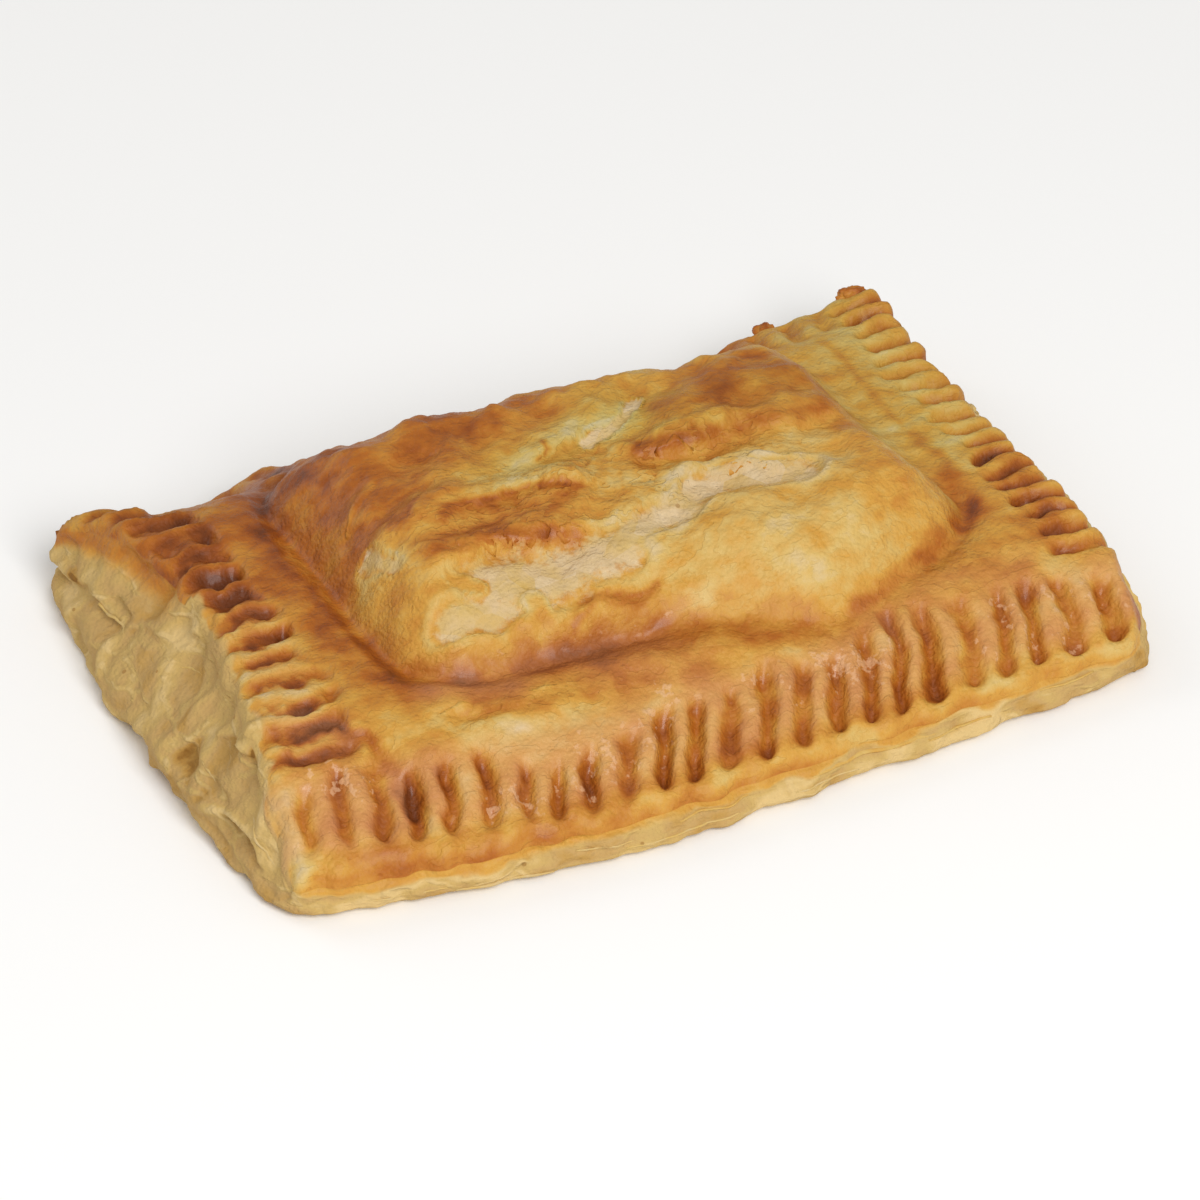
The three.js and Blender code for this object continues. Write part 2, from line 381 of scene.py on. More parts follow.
def fork_row(name, from_edge, place, unsteady):
    marks, start, end, depth, tip_depth, wander, speed = FORK_ROWS[name]
    turns = (place + 1) / 2 * marks
    shift = 31 * list(FORK_ROWS).index(name)
    phase = turns + wander * waver(6 * turns + shift, speed * from_edge) + 0.12 * unsteady
    end = end + 1.8 * waver(7 * turns + 90 + shift, 0)
    uneven = np.maximum(1 + 0.4 * waver(8 * turns + 40 + shift, 0), 0.8) + 0.3 * unsteady
    sharpness = GROOVE_SHARPNESS[0]
    soft = 0.0
    if name == "front":
        for middle, half_width, change in STRETCHES:
            end = end + change * bell((place * LENGTH / 2 - middle) / half_width)
        soft = 0.8 * (1 - smoothstep(place, -0.3, 0.2))
        start = start + SET_IN * (1 - smoothstep(place, -0.8, -0.2))
        sharpness = sharpness + (GROOVE_SHARPNESS[1] - sharpness) * smoothstep(place, -0.4, 0.3)
        uneven = uneven * (CORNER_SHARE + (1 - CORNER_SHARE) * smoothstep(place, -0.88, -0.7))
    if name == "left":
        end = end + LEFT_STRETCH * (1 - smoothstep(place, -0.2, 0.3))
        sharpness = LEFT_SHARPNESS
        uneven = uneven * (0.75 + 0.3 * smoothstep(place, -0.1, 0.4)) + 0.35 * unsteady
    length = smoothstep(from_edge, start - 1.2 - 0.5 * soft, start + 1.2 + 2 * soft)
    length = length * (1 - smoothstep(from_edge, end - 3, end))
    towards_tip = np.clip((from_edge - start) / (end - start), 0, 1)
    tilt = 1 + (tip_depth - 1) * (2 * towards_tip - 1)
    pointed = sharpness * (1 + 0.5 * soft * (1 - length))
    groove = (0.5 + 0.5 * np.cos(2 * np.pi * phase)) ** pointed
    return depth * tilt * uneven * length * groove


def fork_marks(u, v, unsteady):
    from_front, from_back = (1 + v) * WIDTH / 2, (1 - v) * WIDTH / 2
    from_left, from_right = (1 + u) * LENGTH / 2, (1 - u) * LENGTH / 2
    between_rows = smoothstep(from_front, 16, 20) * smoothstep(from_back, 2, 6)
    clear_of_ends = smoothstep(from_left, 8, 14) * smoothstep(from_right, 8, 14)
    front = fork_row("front", from_front, u, unsteady)
    back = fork_row("back", from_back, u, unsteady) * clear_of_ends
    ends = fork_row("left", from_left, v, unsteady) + fork_row("right", from_right, v, unsteady)
    return front + back + ends * between_rows


print("fork marks:", sum(row[0] for row in FORK_ROWS.values()))

# %% [markdown]
# ## Broken and peeled layers
# The lid is many leaves thick. Where the top leaf tore, its edge stands up as a thin lip, and where it came
# away, a pale leaf shows a little lower down. A lip follows a short line: walking along it, the dough is high
# on the left and drops on the right, then comes back to level. A peeled patch is a broad stroke along a line,
# and a leaf that still lies across it is a narrow stroke taken away again. Small ridges and troughs fill the
# ground between. All are made ragged by moving every place about with noise before its distance is measured.

# %% Noise, lips and peeled patches
RAGGED = 1.5  # mm that the outlines wander
# points of the line, drop, length over which the drop fades
LIPS = [
    ([(-27, -1), (-23, 0.8), (-18, 2.0), (-12, 1.8), (-5, 1.4), (2, -0.8)], 0.8, 4.5),
    ([(-34, -11), (-27, -8.8), (-20, -8), (-14, -9.5), (-7, -10.5)], 1.3, 9),
    ([(10, -4), (16, -2.5), (22, -4.5), (27, -6.8), (32, -6)], 0.9, 6),
    ([(-9, 9), (-4, 11), (1, 11.6), (7, 12.4)], 0.8, 5),
    ([(7, 4.6), (14, 3.4), (23, 5.2)], 1.1, 6),
    ([(2, -20.2), (-5, -20), (-10, -19.6), (-16, -21.5)], 0.7, 5),
    ([(-42, -18), (-34, -20.8), (-22, -22.4), (-8, -22.6), (4, -23)], 0.8, 4),
    ([(25, 5), (33, 2), (43, 3.5)], 0.7, 5),
    ([(-42, 5), (-37, 11), (-29, 15)], 0.5, 5),
    ([(-46, -31), (-38, -30), (-28, -31.5), (-18, -30.5)], 0.5, 5),
]
# small ridges and troughs between them: points of the line, height, half width
RIDGES = [
    ([(-40, -5), (-35, 1), (-26, 5.4), (-14, 5.0), (-4, 3.4)], 1.5, 2.6),
    ([(-26, -2.6), (-20, -1), (-10, -2.2)], -0.5, 2.4),
    ([(-31, -6.4), (-22, -5), (-13, -6.6), (-6, -8)], 0.9, 1.8),
    ([(7, 8), (15, 7.2), (23, 8)], 1.1, 2.3),
    ([(8, 2.6), (16, 1.6), (25, 2.6)], -0.9, 2.0),
    ([(25, 7.5), (33, 5.5), (42, 6.5)], 0.9, 2.2),
    ([(-10, 13.8), (0, 15), (9, 17)], 0.9, 2.8),
    ([(-6, 8), (4, 8.6), (12, 10)], -0.7, 2.0),
    ([(0, -6.5), (8, -5.5), (13, -1)], 0.8, 2.4),
    ([(14, -10.5), (24, -12), (33, -11)], 0.9, 2.6),
    ([(-34, 10), (-24, 11.5), (-14, 10)], 0.8, 2.8),
    ([(-36, 17), (-22, 17.5)], -0.6, 2.4),
    ([(18, 15), (30, 18), (42, 15)], 0.8, 3.2),
    ([(24, 11), (38, 11)], -0.7, 2.4),
    ([(34, -1), (42, -5), (46, -12)], 0.7, 3.0),
    ([(-44, -33.5), (-34, -34), (-22, -33.5)], 0.8, 2.2),
    ([(-12, -30), (2, -31.5), (14, -34)], 0.6, 2.0),
    ([(-62, -28.6), (-56, -28.4), (-51.5, -30), (-50, -34), (-50.2, -40)], -1.2, 1.25),
]
# points of the line, half width
PEELED = [
    ([(-33, -16.8), (-22, -17)], 2.9),
    ([(-24.5, -13.6), (-13, -14)], 5.4),
    ([(-11, -13.6), (-3, -12.6)], 4.6),
    ([(-2, -11.4), (8, -9.4), (12, -7)], 2.8),
    ([(13, -5.6), (19, -4.4), (24, -7), (30, -8.4)], 3.2),
    ([(3, 10.8), (9, 14), (14, 18)], 0.95),
    ([(-38.5, 1), (-36.5, -5)], 1.4),
]
# leaves that still lie across a patch
COVERS = [
    ([(-19.2, -18.8), (-18.4, -22)], 2.4),
    ([(-30, -11), (-27, -13)], 1.6),
]
PEEL_DEPTH = 0.45


def noise_at(x, y, z, size, seed=0.0, octaves=3):
    points = zip((x / size).tolist(), (y / size).tolist(), (z / size).tolist())
    return np.array([noise.fractal((a, b, c + seed), 1.0, 2.0, octaves) for a, b, c in points])


def to_line(points, x, y):
    nearest = np.full_like(x, 1e6)
    side = np.zeros_like(x)
    place = np.zeros_like(x)
    for index, (start, end) in enumerate(zip(points, points[1:])):
        run_x, run_y = end[0] - start[0], end[1] - start[1]
        along = ((x - start[0]) * run_x + (y - start[1]) * run_y) / (run_x ** 2 + run_y ** 2)
        along = np.clip(along, 0, 1)
        off_x, off_y = x - start[0] - along * run_x, y - start[1] - along * run_y
        distance = np.hypot(off_x, off_y)
        closer = distance < nearest
        nearest = np.where(closer, distance, nearest)
        side = np.where(closer, np.sign(off_x * run_y - off_y * run_x), side)
        place = np.where(closer, (index + along) / (len(points) - 1), place)
    return nearest, side, place


def lips_at(x, y):
    total = np.zeros_like(x)
    for points, drop, fade in LIPS:
        distance, side, place = to_line(points, x, y)
        strength = np.sin(np.pi * np.clip(place, 0.0, 1.0)) ** 0.6
        signed = distance * side
        below = smoothstep(signed, -0.5, 0.5) * np.exp(-np.maximum(signed, 0) / fade)
        above = 0.5 * bell((signed + 1.0) / 1.1)
        total += drop * strength * (above - below)
    return total


def ridges_at(x, y):
    total = np.zeros_like(x)
    for points, height, half_width in RIDGES:
        total += height * bell(to_line(points, x, y)[0] / half_width)
    return total


def peel_at(x, y):
    best = np.full_like(x, -1.0)
    for points, half_width in PEELED:
        distance = to_line(points, x, y)[0]
        best = np.maximum(best, 1 - distance / half_width)
    for points, half_width in COVERS:
        best = np.minimum(best, to_line(points, x, y)[0] / half_width - 1)
    return best


print("torn edges:", len(LIPS), "peeled patches:", len(PEELED))

# %% [markdown]
# ## Overlapping flakes
# Between the large tears the top of the crown is a crowd of small overlapping flakes, like shingles. Cutting
# a noise field into steps gives their outlines, as contour lines do on a map. Taking the smooth field away
# from its steps leaves a saw tooth: each flake starts with a crisp edge and slopes down to the next one. Thin
# wrinkles run where a second field crosses zero, broken off here and there. Both are strongest in the middle
# of the crown and on the rim in front of it, which a third function says.

# %% Shingles of pastry
FLAKE_SIZE = 17  # mm, the noise field's coarsest waves
FLAKE_STEPS = 4
FLAKE_HEIGHT = 0.3


def shingles(x, y):
    level = np.zeros_like(x)
    field = noise_at(x, 1.5 * y, level, FLAKE_SIZE, seed=17.0, octaves=2)
    field += 0.07 * noise_at(x, y, level, 3.0, seed=71.0, octaves=2)
    steps = FLAKE_STEPS * field
    part = steps - np.floor(steps)
    tooth = smoothstep(part, 0.0, 0.15) - part
    # colour, not relief: a painted shadow just under each flake's edge and a painted highlight on its top
    foot = bell((part - 1) / 0.14) - 0.5 * bell((part - 0.22) / 0.14)
    return tooth, foot


def wrinkle_lines(x, y):
    level = np.zeros_like(x)
    field = noise_at(x / 1.6, y, level, 8.0, seed=26.0, octaves=3)
    broken = smoothstep(noise_at(x, y, level, 9.0, seed=77.0, octaves=2), -0.15, 0.1)
    return bell(field / 0.05) * broken


def flakiness(x, y):
    middle = bell((y - 0.5) / 14) * bell((x + 2) / 34)
    front_rim = 0.45 * bell((y + 32) / 4.5) * bell((x + 25) / 22)
    return 0.14 + 0.86 * middle + front_rim


print("flake height:", FLAKE_HEIGHT, "mm")

# %% [markdown]
# ## The skin
# The crust starts as a flat grid, the lid. Its outer edges are extruded downwards row by row, which makes the
# side walls, and then inwards in a few rings along the underside, where one face closes it. At this stage it
# is a plain block, and every vertex's place in the block is kept as u, v and w before the vertices move to
# the pie.

# %% Build the block
LID_ALONG = 284
LID_ACROSS = 196
WALL_ROWS = 38
UNDERSIDE_RINGS = (0.93, 0.8, 0.6, 0.3)
ON_EDGE = 0.9999  # u or v past this lies on the outer edge
BY_EDGE = 0.99  # and past this beside it


def extrude_rim(bm, rim):
    made = bmesh.ops.extrude_edge_only(bm, edges=rim)["geom"]
    verts = {item for item in made if isinstance(item, bmesh.types.BMVert)}
    edges = [item for item in made if isinstance(item, bmesh.types.BMEdge) and verts.issuperset(item.verts)]
    return list(verts), edges


block = bmesh.new()
bmesh.ops.create_grid(block, x_segments=LID_ALONG, y_segments=LID_ACROSS, size=1)
bmesh.ops.translate(block, verts=block.verts, vec=(0, 0, 1))
rim = [edge for edge in block.edges if edge.is_boundary]
for row in range(WALL_ROWS):
    row_verts, rim = extrude_rim(block, rim)
    bmesh.ops.translate(block, verts=row_verts, vec=(0, 0, -1 / WALL_ROWS))
ring_size = 1.0
for size in UNDERSIDE_RINGS:
    row_verts, rim = extrude_rim(block, rim)
    bmesh.ops.scale(block, verts=row_verts, vec=(size / ring_size, size / ring_size, 1))
    ring_size = size
bmesh.ops.holes_fill(block, edges=rim, sides=0)
bmesh.ops.recalc_face_normals(block, faces=block.faces)
crust = link_mesh(block, "pie_crust")
places = np.empty(3 * len(crust.data.vertices))
crust.data.vertices.foreach_get("co", places)
u, v, w = places.reshape(-1, 3).T
on_lid = w > 1 - 0.5 / WALL_ROWS
on_wall = ~on_lid & (np.maximum(np.abs(u), np.abs(v)) > ON_EDGE)
underneath = ~on_lid & ~on_wall
print("vertices:", len(u), "lid", on_lid.sum(), "walls", on_wall.sum(), "underside", underneath.sum())

# %% [markdown]
# ## Shaping the lid
# The lid's height is the vault plus the crown, less the fork marks, with the torn layers on top. The cut edge
# is rounded over, as puffed dough is, and round each peeled patch the top leaf curls up a little. Noise keeps
# any stretch from looking machined: it crumbles the left edge and is strongest on the back of the crown.

# %% Lid surface
EDGE_ROUNDING = (3.6, 2.2)  # at the left end and elsewhere
WAVY_EDGE = 0.6
LUMPINESS = 0.6
WRINKLE_DEPTH = 0.5
PATCH_CURL = 0.3
CRUMBLING = 1.6
BACK_LUMPS = 1.8


def edge_rounding(u, v):
    from_long, from_end = (1 - np.abs(v)) * WIDTH / 2, (1 - np.abs(u)) * LENGTH / 2
    from_edge = np.minimum(from_long, from_end)
    reach = np.where((u < 0) & (from_end < from_long), *EDGE_ROUNDING)
    return 0.75 * reach * (1 - np.clip(from_edge / reach, 0, 1)) ** 2


def ragged_place(x, y):
    level = np.zeros_like(x)
    shift_x = noise_at(x, y, level, 8.0, seed=3.0, octaves=2) * RAGGED
    shift_y = noise_at(x, y, level, 8.0, seed=8.0, octaves=2) * RAGGED
    return x + shift_x, y + shift_y


def lid_surface(u, v):
    x, y = u * LENGTH / 2, v * WIDTH / 2
    plan_x, plan_y = lid_plan(u, v)
    torn_x, torn_y = ragged_place(plan_x, plan_y)
    peel = peel_at(torn_x, torn_y)
    tooth, flake_edge_shading = shingles(plan_x, plan_y)
    flaky = flakiness(plan_x, plan_y)
    unsteady = noise_at(plan_x, plan_y, np.zeros_like(x), 4.0, seed=37.0)
    marks = fork_marks(u, v, unsteady)
    height = vault_height(x, y) + crown_height(x, y) - marks - edge_rounding(u, v)
    height += ridges_at(torn_x, torn_y) + lips_at(torn_x, torn_y) - PEEL_DEPTH * smoothstep(peel, -0.06, 0.08)
    height += PATCH_CURL * bell((peel + 0.2) / 0.14) + FLAKE_HEIGHT * flaky * tooth
    wrinkles = wrinkle_lines(plan_x, plan_y) * np.minimum(flaky, 1)
    height -= WRINKLE_DEPTH * wrinkles
    crumbly = CRUMBLING * noise_at(plan_x, plan_y, np.zeros_like(x), 6.0, seed=58.0)
    height += crumbly * bell((1 + u) * LENGTH / 2 / 3.5) * smoothstep((1 - np.abs(v)) * WIDTH / 2, 3, 9)
    back_bumps = BACK_LUMPS * bell((plan_y - 26) / 8) * smoothstep(depth_in_crown(x, y), 0, 6)
    lumps = noise_at(plan_x, plan_y, np.zeros_like(x), 8.0, seed=21.0)
    height += LUMPINESS * lumps * (0.5 + flaky + back_bumps)
    # the sixth value goes into the colour: painted shadow lines at the flakes' feet and in the wrinkles, and a
    # painted highlight on the flake edges
    return plan_x, plan_y, height, peel, marks, flaky * flake_edge_shading + 1.2 * wrinkles, flaky


lid_x, lid_y, lid_z, lid_peel, lid_marks, lid_edge_shading, lid_flaky = lid_surface(u[on_lid], v[on_lid])
print("lid height:", round(lid_z.min(), 1), "to", round(lid_z.max(), 1), "mm")

# %% [markdown]
# ## Shaping the walls
# A wall runs from the base's edge up to the lid's. Half way up is the seam where the two sheets meet. The
# leaves of the dough puffed apart there, so the wall is broken into shallow hollows with thin ridges between
# them, longer along the wall than they are high. Voronoi cells, stretched sideways, give hollows of that
# kind, and each floor is darkened by a random amount, painted shade in the hollow. At the left end a few
# bigger hollows are scooped out, listed one by one, and bites from the lower edge.

# %% Walls and underside
BASE_SHARE = 0.45
SEAM_DEPTH = 0.9
SEAM_WIDTH = 0.08
HOLLOW_SIZE = (15, 9)  # along the wall, up the wall
HOLLOW_DEPTH = 1.35
LEAF_RELIEF = 0.25
PUFF = 0.5
TRAY_ROUNDING = 1.6
# big hollows in the left end: y, height, half width, half height, depth
POCKETS = [
    (3, 13, 9, 3.8, 1.2),
    (-29, 5.6, 5.0, 2.4, 1.2),
    (25, 9, 6, 2.4, 1.2),
]
# places where the base's lower edge broke away, in the same order
BITES = [
    (-7, 0, 4.5, 3.4, 2.2),
    (-19, 0, 4.5, 2.6, 1.4),
    (-34, 0, 3.0, 2.0, 1.6),
    (4, 0, 5.0, 2.4, 1.5),
]


def outward(u, v):
    out_x = np.where(np.abs(u) > ON_EDGE, np.sign(u), 0.0)
    out_y = np.where(np.abs(v) > ON_EDGE, np.sign(v), 0.0)
    length = np.maximum(np.hypot(out_x, out_y), 1e-6)
    return out_x / length, out_y / length


def hollows(x, y, z):
    along, up = HOLLOW_SIZE
    points = zip((x / along).tolist(), (y / along).tolist(), (z / up).tolist())
    gaps, tones = [], []
    for point in points:
        distances, centres = noise.voronoi(point)
        gaps.append(distances[1] - distances[0])
        tones.append(noise.cell(centres[0] * 97))
    tones = 0.5 + 0.5 * np.array(tones)
    return smoothstep(np.array(gaps), 0.02, 0.3) * (0.4 + 0.6 * tones), tones


def scoops(places, u, y, z):
    total = np.zeros_like(y)
    for place_y, place_z, half_width, half_height, depth in places:
        reach = np.hypot((y - place_y) / half_width, (z - place_z) / half_height)
        total += depth * (u < -BY_EDGE) * (1 - smoothstep(reach, 0.45, 1.0))
    return total


def wall_surface(u, v, w):
    low_x, low_y = base_plan(u, v)
    high_x, high_y = lid_plan(u, v)
    climb = smoothstep(w, BASE_SHARE / 2, 1)
    x, y = low_x + (high_x - low_x) * climb, low_y + (high_y - low_y) * climb
    top = lid_surface(u, v)[2]
    z = top * w
    tall = smoothstep(top, 7, 13)
    seam_height = BASE_SHARE + 0.1 * waver(1.3 * x, 1.3 * y)
    back_left = bell((y - 46) / 14) * (x < 0)
    seam = SEAM_DEPTH * tall * (1 + 2 * back_left) * bell((w - seam_height) / SEAM_WIDTH)
    warp = 1.6 * noise_at(x, y, z, 6.0, seed=12.0, octaves=2)
    hollow, tone = hollows(x + warp, y + warp, z + 0.6 * warp)
    hollow = hollow * tall
    leaves = noise_at(x / 6, y / 6, z, 1.7, seed=5.0)
    lumps = noise_at(x / 2, y / 2, z, 4.0, seed=9.0)
    knobs = noise_at(x, y, z, 2.2, seed=15.0)
    relief = LEAF_RELIEF * leaves + (0.7 - 0.4 * tall) * lumps + 0.25 * knobs + PUFF * np.sin(np.pi * w)
    relief -= seam + HOLLOW_DEPTH * hollow - 0.6 * tall + scoops(POCKETS, u, y, z)
    fade = smoothstep(w, 0, 0.1) * (1 - smoothstep(w, 0.88, 1))
    underside = TRAY_ROUNDING * (1 - smoothstep(z, 0, 1.6)) ** 2
    wave = WAVY_EDGE * waver(2 * x, 2 * y) * (1 - smoothstep(w, 0.7, 1))
    out_x, out_y = outward(u, v)
    push = relief * fade + wave - underside - scoops(BITES, u, y, z)
    # darker hollow floors: painted shade, by a random amount for each cell
    floor_tone = 0.4 + 0.6 * ((7 * tone) % 1)
    return x + out_x * push, y + out_y * push, z, 1 - np.minimum(hollow * 2, 1) * (1 - floor_tone)


x, y, z = np.zeros_like(u), np.zeros_like(u), np.zeros_like(u)
x[on_lid], y[on_lid], z[on_lid] = lid_x, lid_y, lid_z
x[on_wall], y[on_wall], z[on_wall], wall_tone = wall_surface(u[on_wall], v[on_wall], w[on_wall])
x[underneath], y[underneath] = base_plan(u[underneath], v[underneath])
crust.data.vertices.foreach_set("co", (np.column_stack((x, y, z)) * MM).ravel())
crust.data.update()
print("walls' tone:", round(float(wall_tone.min()), 2), "to", round(float(wall_tone.max()), 2))

# %% [markdown]
# ## Fine relief
# Baked dough is never smooth: it has small blisters and wrinkles. They stand off the surface in its own
# direction, so they are added along the vertex normals once the large form is there.

# %% Blisters and wrinkles
WRINKLES = 0.17
BLISTERS = 0.16

normals = np.empty_like(places)
crust.data.vertices.foreach_get("normal", normals)
normal_x, normal_y, normal_z = normals.reshape(-1, 3).T
wrinkles = noise_at(x, y, z, 2.6, seed=31.0)
blisters = np.maximum(noise_at(x, y, z, 1.5, seed=44.0) - 0.15, 0) * smoothstep(wrinkles, -0.2, 0.3)
fine = (WRINKLES * wrinkles + BLISTERS * blisters) * np.where(on_lid, 1.0, 0.5)
fine[underneath] = 0
x, y, z = x + fine * normal_x, y + fine * normal_y, np.maximum(z + fine * normal_z, 0)
crust.data.vertices.foreach_set("co", (np.column_stack((x, y, z)) * MM).ravel())
crust.data.shade_smooth()
crust.data.update()
print("fine relief:", round(float(fine.min()), 2), "to", round(float(fine.max()), 2), "mm")

# %% [markdown]
# ## How brown each place is
# The oven browned the pie unevenly. A number for each vertex, its bake, says how far it went: 0 is raw cream,
# 1 is dark brown. On the lid the same number also carries painted shade and painted highlights, added further
# on. It could be painted on the mesh by hand. Here it is drawn with soft brush strokes, each a line with a
# half width and a change, because a stroke can be moved or turned down later by editing one row.

# %% Strokes that brown the lid
BROWNED = [
    # the groove at the crown's left foot and the dark end beyond it
    ([(-47, 24), (-45.5, 8), (-43.5, -12), (-42.5, -21)], 1.4, 0.22),
    ([(-49, 20), (-47, -8), (-45, -20)], 3.4, 0.12),
    ([(-60, 32), (-58, 6)], 6, 0.2),
    ([(-62, 34), (-52, 30), (-46, 26)], 6, 0.04),
    # the crease at its front foot
    ([(-42, -23), (-33, -24.8), (-18, -25.8), (-4, -25.8)], 3.0, 0.12),
    ([(-40, -24), (-31, -25.2)], 1.7, 0.08),
    ([(-39, -25.6), (-28, -26.8), (-14, -27.6)], 2.4, 0.15),
    ([(-4, -25.5), (8, -28), (16, -31)], 2.0, 0.08),
    # the back of the crown
    ([(-40, 26), (-24, 22), (-10, 26)], 9, 0.26),
    ([(-38, 40), (-14, 42), (4, 40)], 9, 0.26),
    # orange cheek on the left
    ([(-38, 7), (-36, 15), (-28, 9)], 6, 0.22),
    # torn edges and the steep flank in front of them; the first row is a painted shadow line under a torn edge
    ([(-26, 0.2), (-21, 2), (-16, 2.2), (-10, 1.2), (-4, 0.8)], 1.1, 0.34),
    ([(-30, -5), (-24, -5), (-19, -5.2), (-14, -6.6), (-9, -8.5)], 2.8, 0.36),
    ([(-21, -5.5), (-13, -7.5)], 2.2, 0.18),
    ([(-27, -2), (-18, -1), (-8, -2)], 2.4, 0.1),
    ([(-33, 4), (-26, 5), (-20, 8)], 1.5, 0.14),
    ([(9, 6.2), (15, 5), (21, 6.2)], 2.0, 0.32),
    ([(27, 6), (34, 3.5), (40, 5)], 1.6, 0.16),
    # the top of the right half and its front shoulder
    ([(14, 11), (26, 15), (40, 12)], 5.5, 0.2),
    ([(30, 22), (46, 18)], 5, 0.12),
    ([(42, -5), (42, -12), (37, -19)], 4.5, 0.12),
    # the groove at the right front foot, the crease on the right and the rim beyond it
    ([(28, -30), (40, -25.2), (48, -21)], 1.0, 0.2),
    ([(50.5, -18.8), (56, -14.5)], 1.6, 0.36),
    ([(30, -31), (45, -29), (56, -24)], 2.5, 0.03),
    ([(56.5, 5), (56.8, -7)], 1.3, 0.22),
    ([(55.5, 34), (55.2, 19), (55, 8)], 0.9, 0.15),
    ([(65, -2), (65, -24)], 4, 0.19),
    # the front rim, and the arch in its left corner
    ([(-60, -33), (-56, -38)], 6, 0.1),
    ([(-64, -28.6), (-56, -28.4), (-51.5, -30), (-50, -34), (-50.5, -41)], 1.2, 0.27),
    ([(-14, -31), (4, -32)], 4, 0.13),
    # fine cracks; the last row is a painted shadow line under a lifted flake's edge
    ([(-6.5, 9.8), (-4.6, 11), (-3.6, 14)], 0.5, 0.4),
    ([(3.6, 12), (5.4, 12.2)], 0.6, 0.25),
    ([(1.5, 2), (4, 6)], 1.0, 0.14),
    ([(0, -20.2), (-5, -20), (-10, -19.6), (-14, -21.2)], 0.45, 0.22),
    ([(21, -4.4), (25, -6.4), (30, -6.2)], 0.45, 0.2),
]


def strokes_at(strokes, x, y):
    total = np.zeros_like(x)
    for points, half_width, change in strokes:
        total += change * bell(to_line(points, x, y)[0] / half_width)
    return total


print("browner strokes:", len(BROWNED))

# %% [markdown]
# ## Places that stayed pale
# A second list of strokes takes bake away again: where the dough is thick and smooth, where the rim lies
# lower than the crown, and on single leaves. It is kept apart because the pale places are also the calm
# ones, with fewer blotches, so its sum is used twice.

# %% Strokes that leave it pale
PALE = [
    # smooth golden front of the right half
    ([(8, -17), (22, -22), (33, -20)], 9, -0.16),
    ([(20, -18), (24, -28)], 3, -0.1),
    ([(32, -2), (44, -6)], 5, -0.1),
    # the right shoulder and the back right corner
    ([(50, 38), (51, 20), (51, 2), (47, -8)], 5, -0.16),
    ([(32, -29), (43, -26), (53, -22)], 5, -0.09),
    ([(60, 46), (62, 22), (61, 2)], 8, -0.23),
    ([(10, 24), (24, 32)], 6, -0.08),
    # leaves near the middle
    ([(-9, 12), (0, 14), (12, 14)], 4, -0.2),
    ([(-27, 4.5), (-20, 6), (-12, 5.5)], 2.8, -0.12),
    ([(-18, 8.5), (-8, 9)], 3, -0.1),
    # the rim in front of the crown and to its left
    ([(-37, -33.5), (-28, -36), (-18, -36.5)], 3.2, -0.25),
    ([(-50, -32), (-42, -30)], 3.5, -0.16),
    ([(-54, 0), (-52, -24)], 3, -0.07),
    ([(-6, -30), (6, -33)], 3, -0.05),
]
print("paler strokes:", len(PALE))

# %% [markdown]
# ## The lid as a sheet of numbers
# Some of the colour follows from the form: painted shade in the hollows and on one wall of some grooves. The
# lid's vertices lie in rows and columns, so their heights can be put into a sheet, as in a picture, and
# compared with their neighbours. Smoothing that sheet many times and taking it away shows the hollows. A few
# masks, which run softly from 0 to 1, pick out the rows of fork marks.

# %% Hollows and masks
SMOOTHING_ROUNDS = 30

lid_column = np.rint((u[on_lid] + 1) / 2 * LID_ALONG).astype(int)
lid_row = np.rint((v[on_lid] + 1) / 2 * LID_ACROSS).astype(int)


def as_sheet(values):
    sheet = np.zeros((LID_ACROSS + 1, LID_ALONG + 1))
    sheet[lid_row, lid_column] = values
    return sheet


def hollowness(height):
    sheet = as_sheet(height)
    smooth = sheet
    for _ in range(SMOOTHING_ROUNDS):
        wide = np.pad(smooth, 1, mode="edge")
        smooth = (wide[:-2, 1:-1] + wide[2:, 1:-1] + wide[1:-1, :-2] + wide[1:-1, 2:]) / 4
    return np.clip((smooth - sheet)[lid_row, lid_column], -0.6, 1.2)


from_front = (1 + v[on_lid]) * WIDTH / 2
from_left = (1 + u[on_lid]) * LENGTH / 2
behind_front_row = smoothstep(from_front, 15, 20)
front_band = smoothstep(from_front, 2.5, 6) * (1 - smoothstep(from_front, 12, 18))
left_row = smoothstep(from_left, 2, 5) * (1 - smoothstep(from_left, 14, 19)) * behind_front_row
left_band = smoothstep(from_left, 2, 5) * (1 - smoothstep(from_left, 12, 17))
left_band *= (1 - smoothstep(lid_y, -4, 14)) * behind_front_row
right_band = smoothstep(lid_x, 56, 60) * (1 - smoothstep(lid_y, -6, 10)) * (1 - front_band)
left_half = 1 - smoothstep(lid_x, -30, 10)
# painted shade: how far each place lies below the smoothed sheet, used to darken the hollows
lid_hollow_shade = hollowness(lid_z)
print("hollows:", round(float(lid_hollow_shade.max()), 2), "mm below the smooth sheet")

# %% [markdown]
# ## The lid's bake
# The strokes were placed by looking at the picture, from above and in front, where a ridge appears farther
# back than it is. So each place is shifted by how far it rises above the smooth form, and then moved about
# with noise, before it meets the strokes. To their sum come painted shade in the grooves of the fork marks and
# in the hollows, painted shadow lines under the flake edges and in the wrinkles, a painted highlight on the
# flake edges, and streaks and patches of noise. In the left half one wall of a groove is darker than the
# other, painted shade that counters the key light so that the grooves read as lit from above. The lid's front
# edge and its worn left edge stay pale, and the ridges between some fork marks are paler, a painted highlight
# on their tops.

# %% Bake of the lid
CROWN_BAKE = 0.43
RIM_BAKE = 0.53
SEEN_SHIFT = (0.6, 1.26)  # mm along x and y for each mm of height
STEEPEST = 1.5

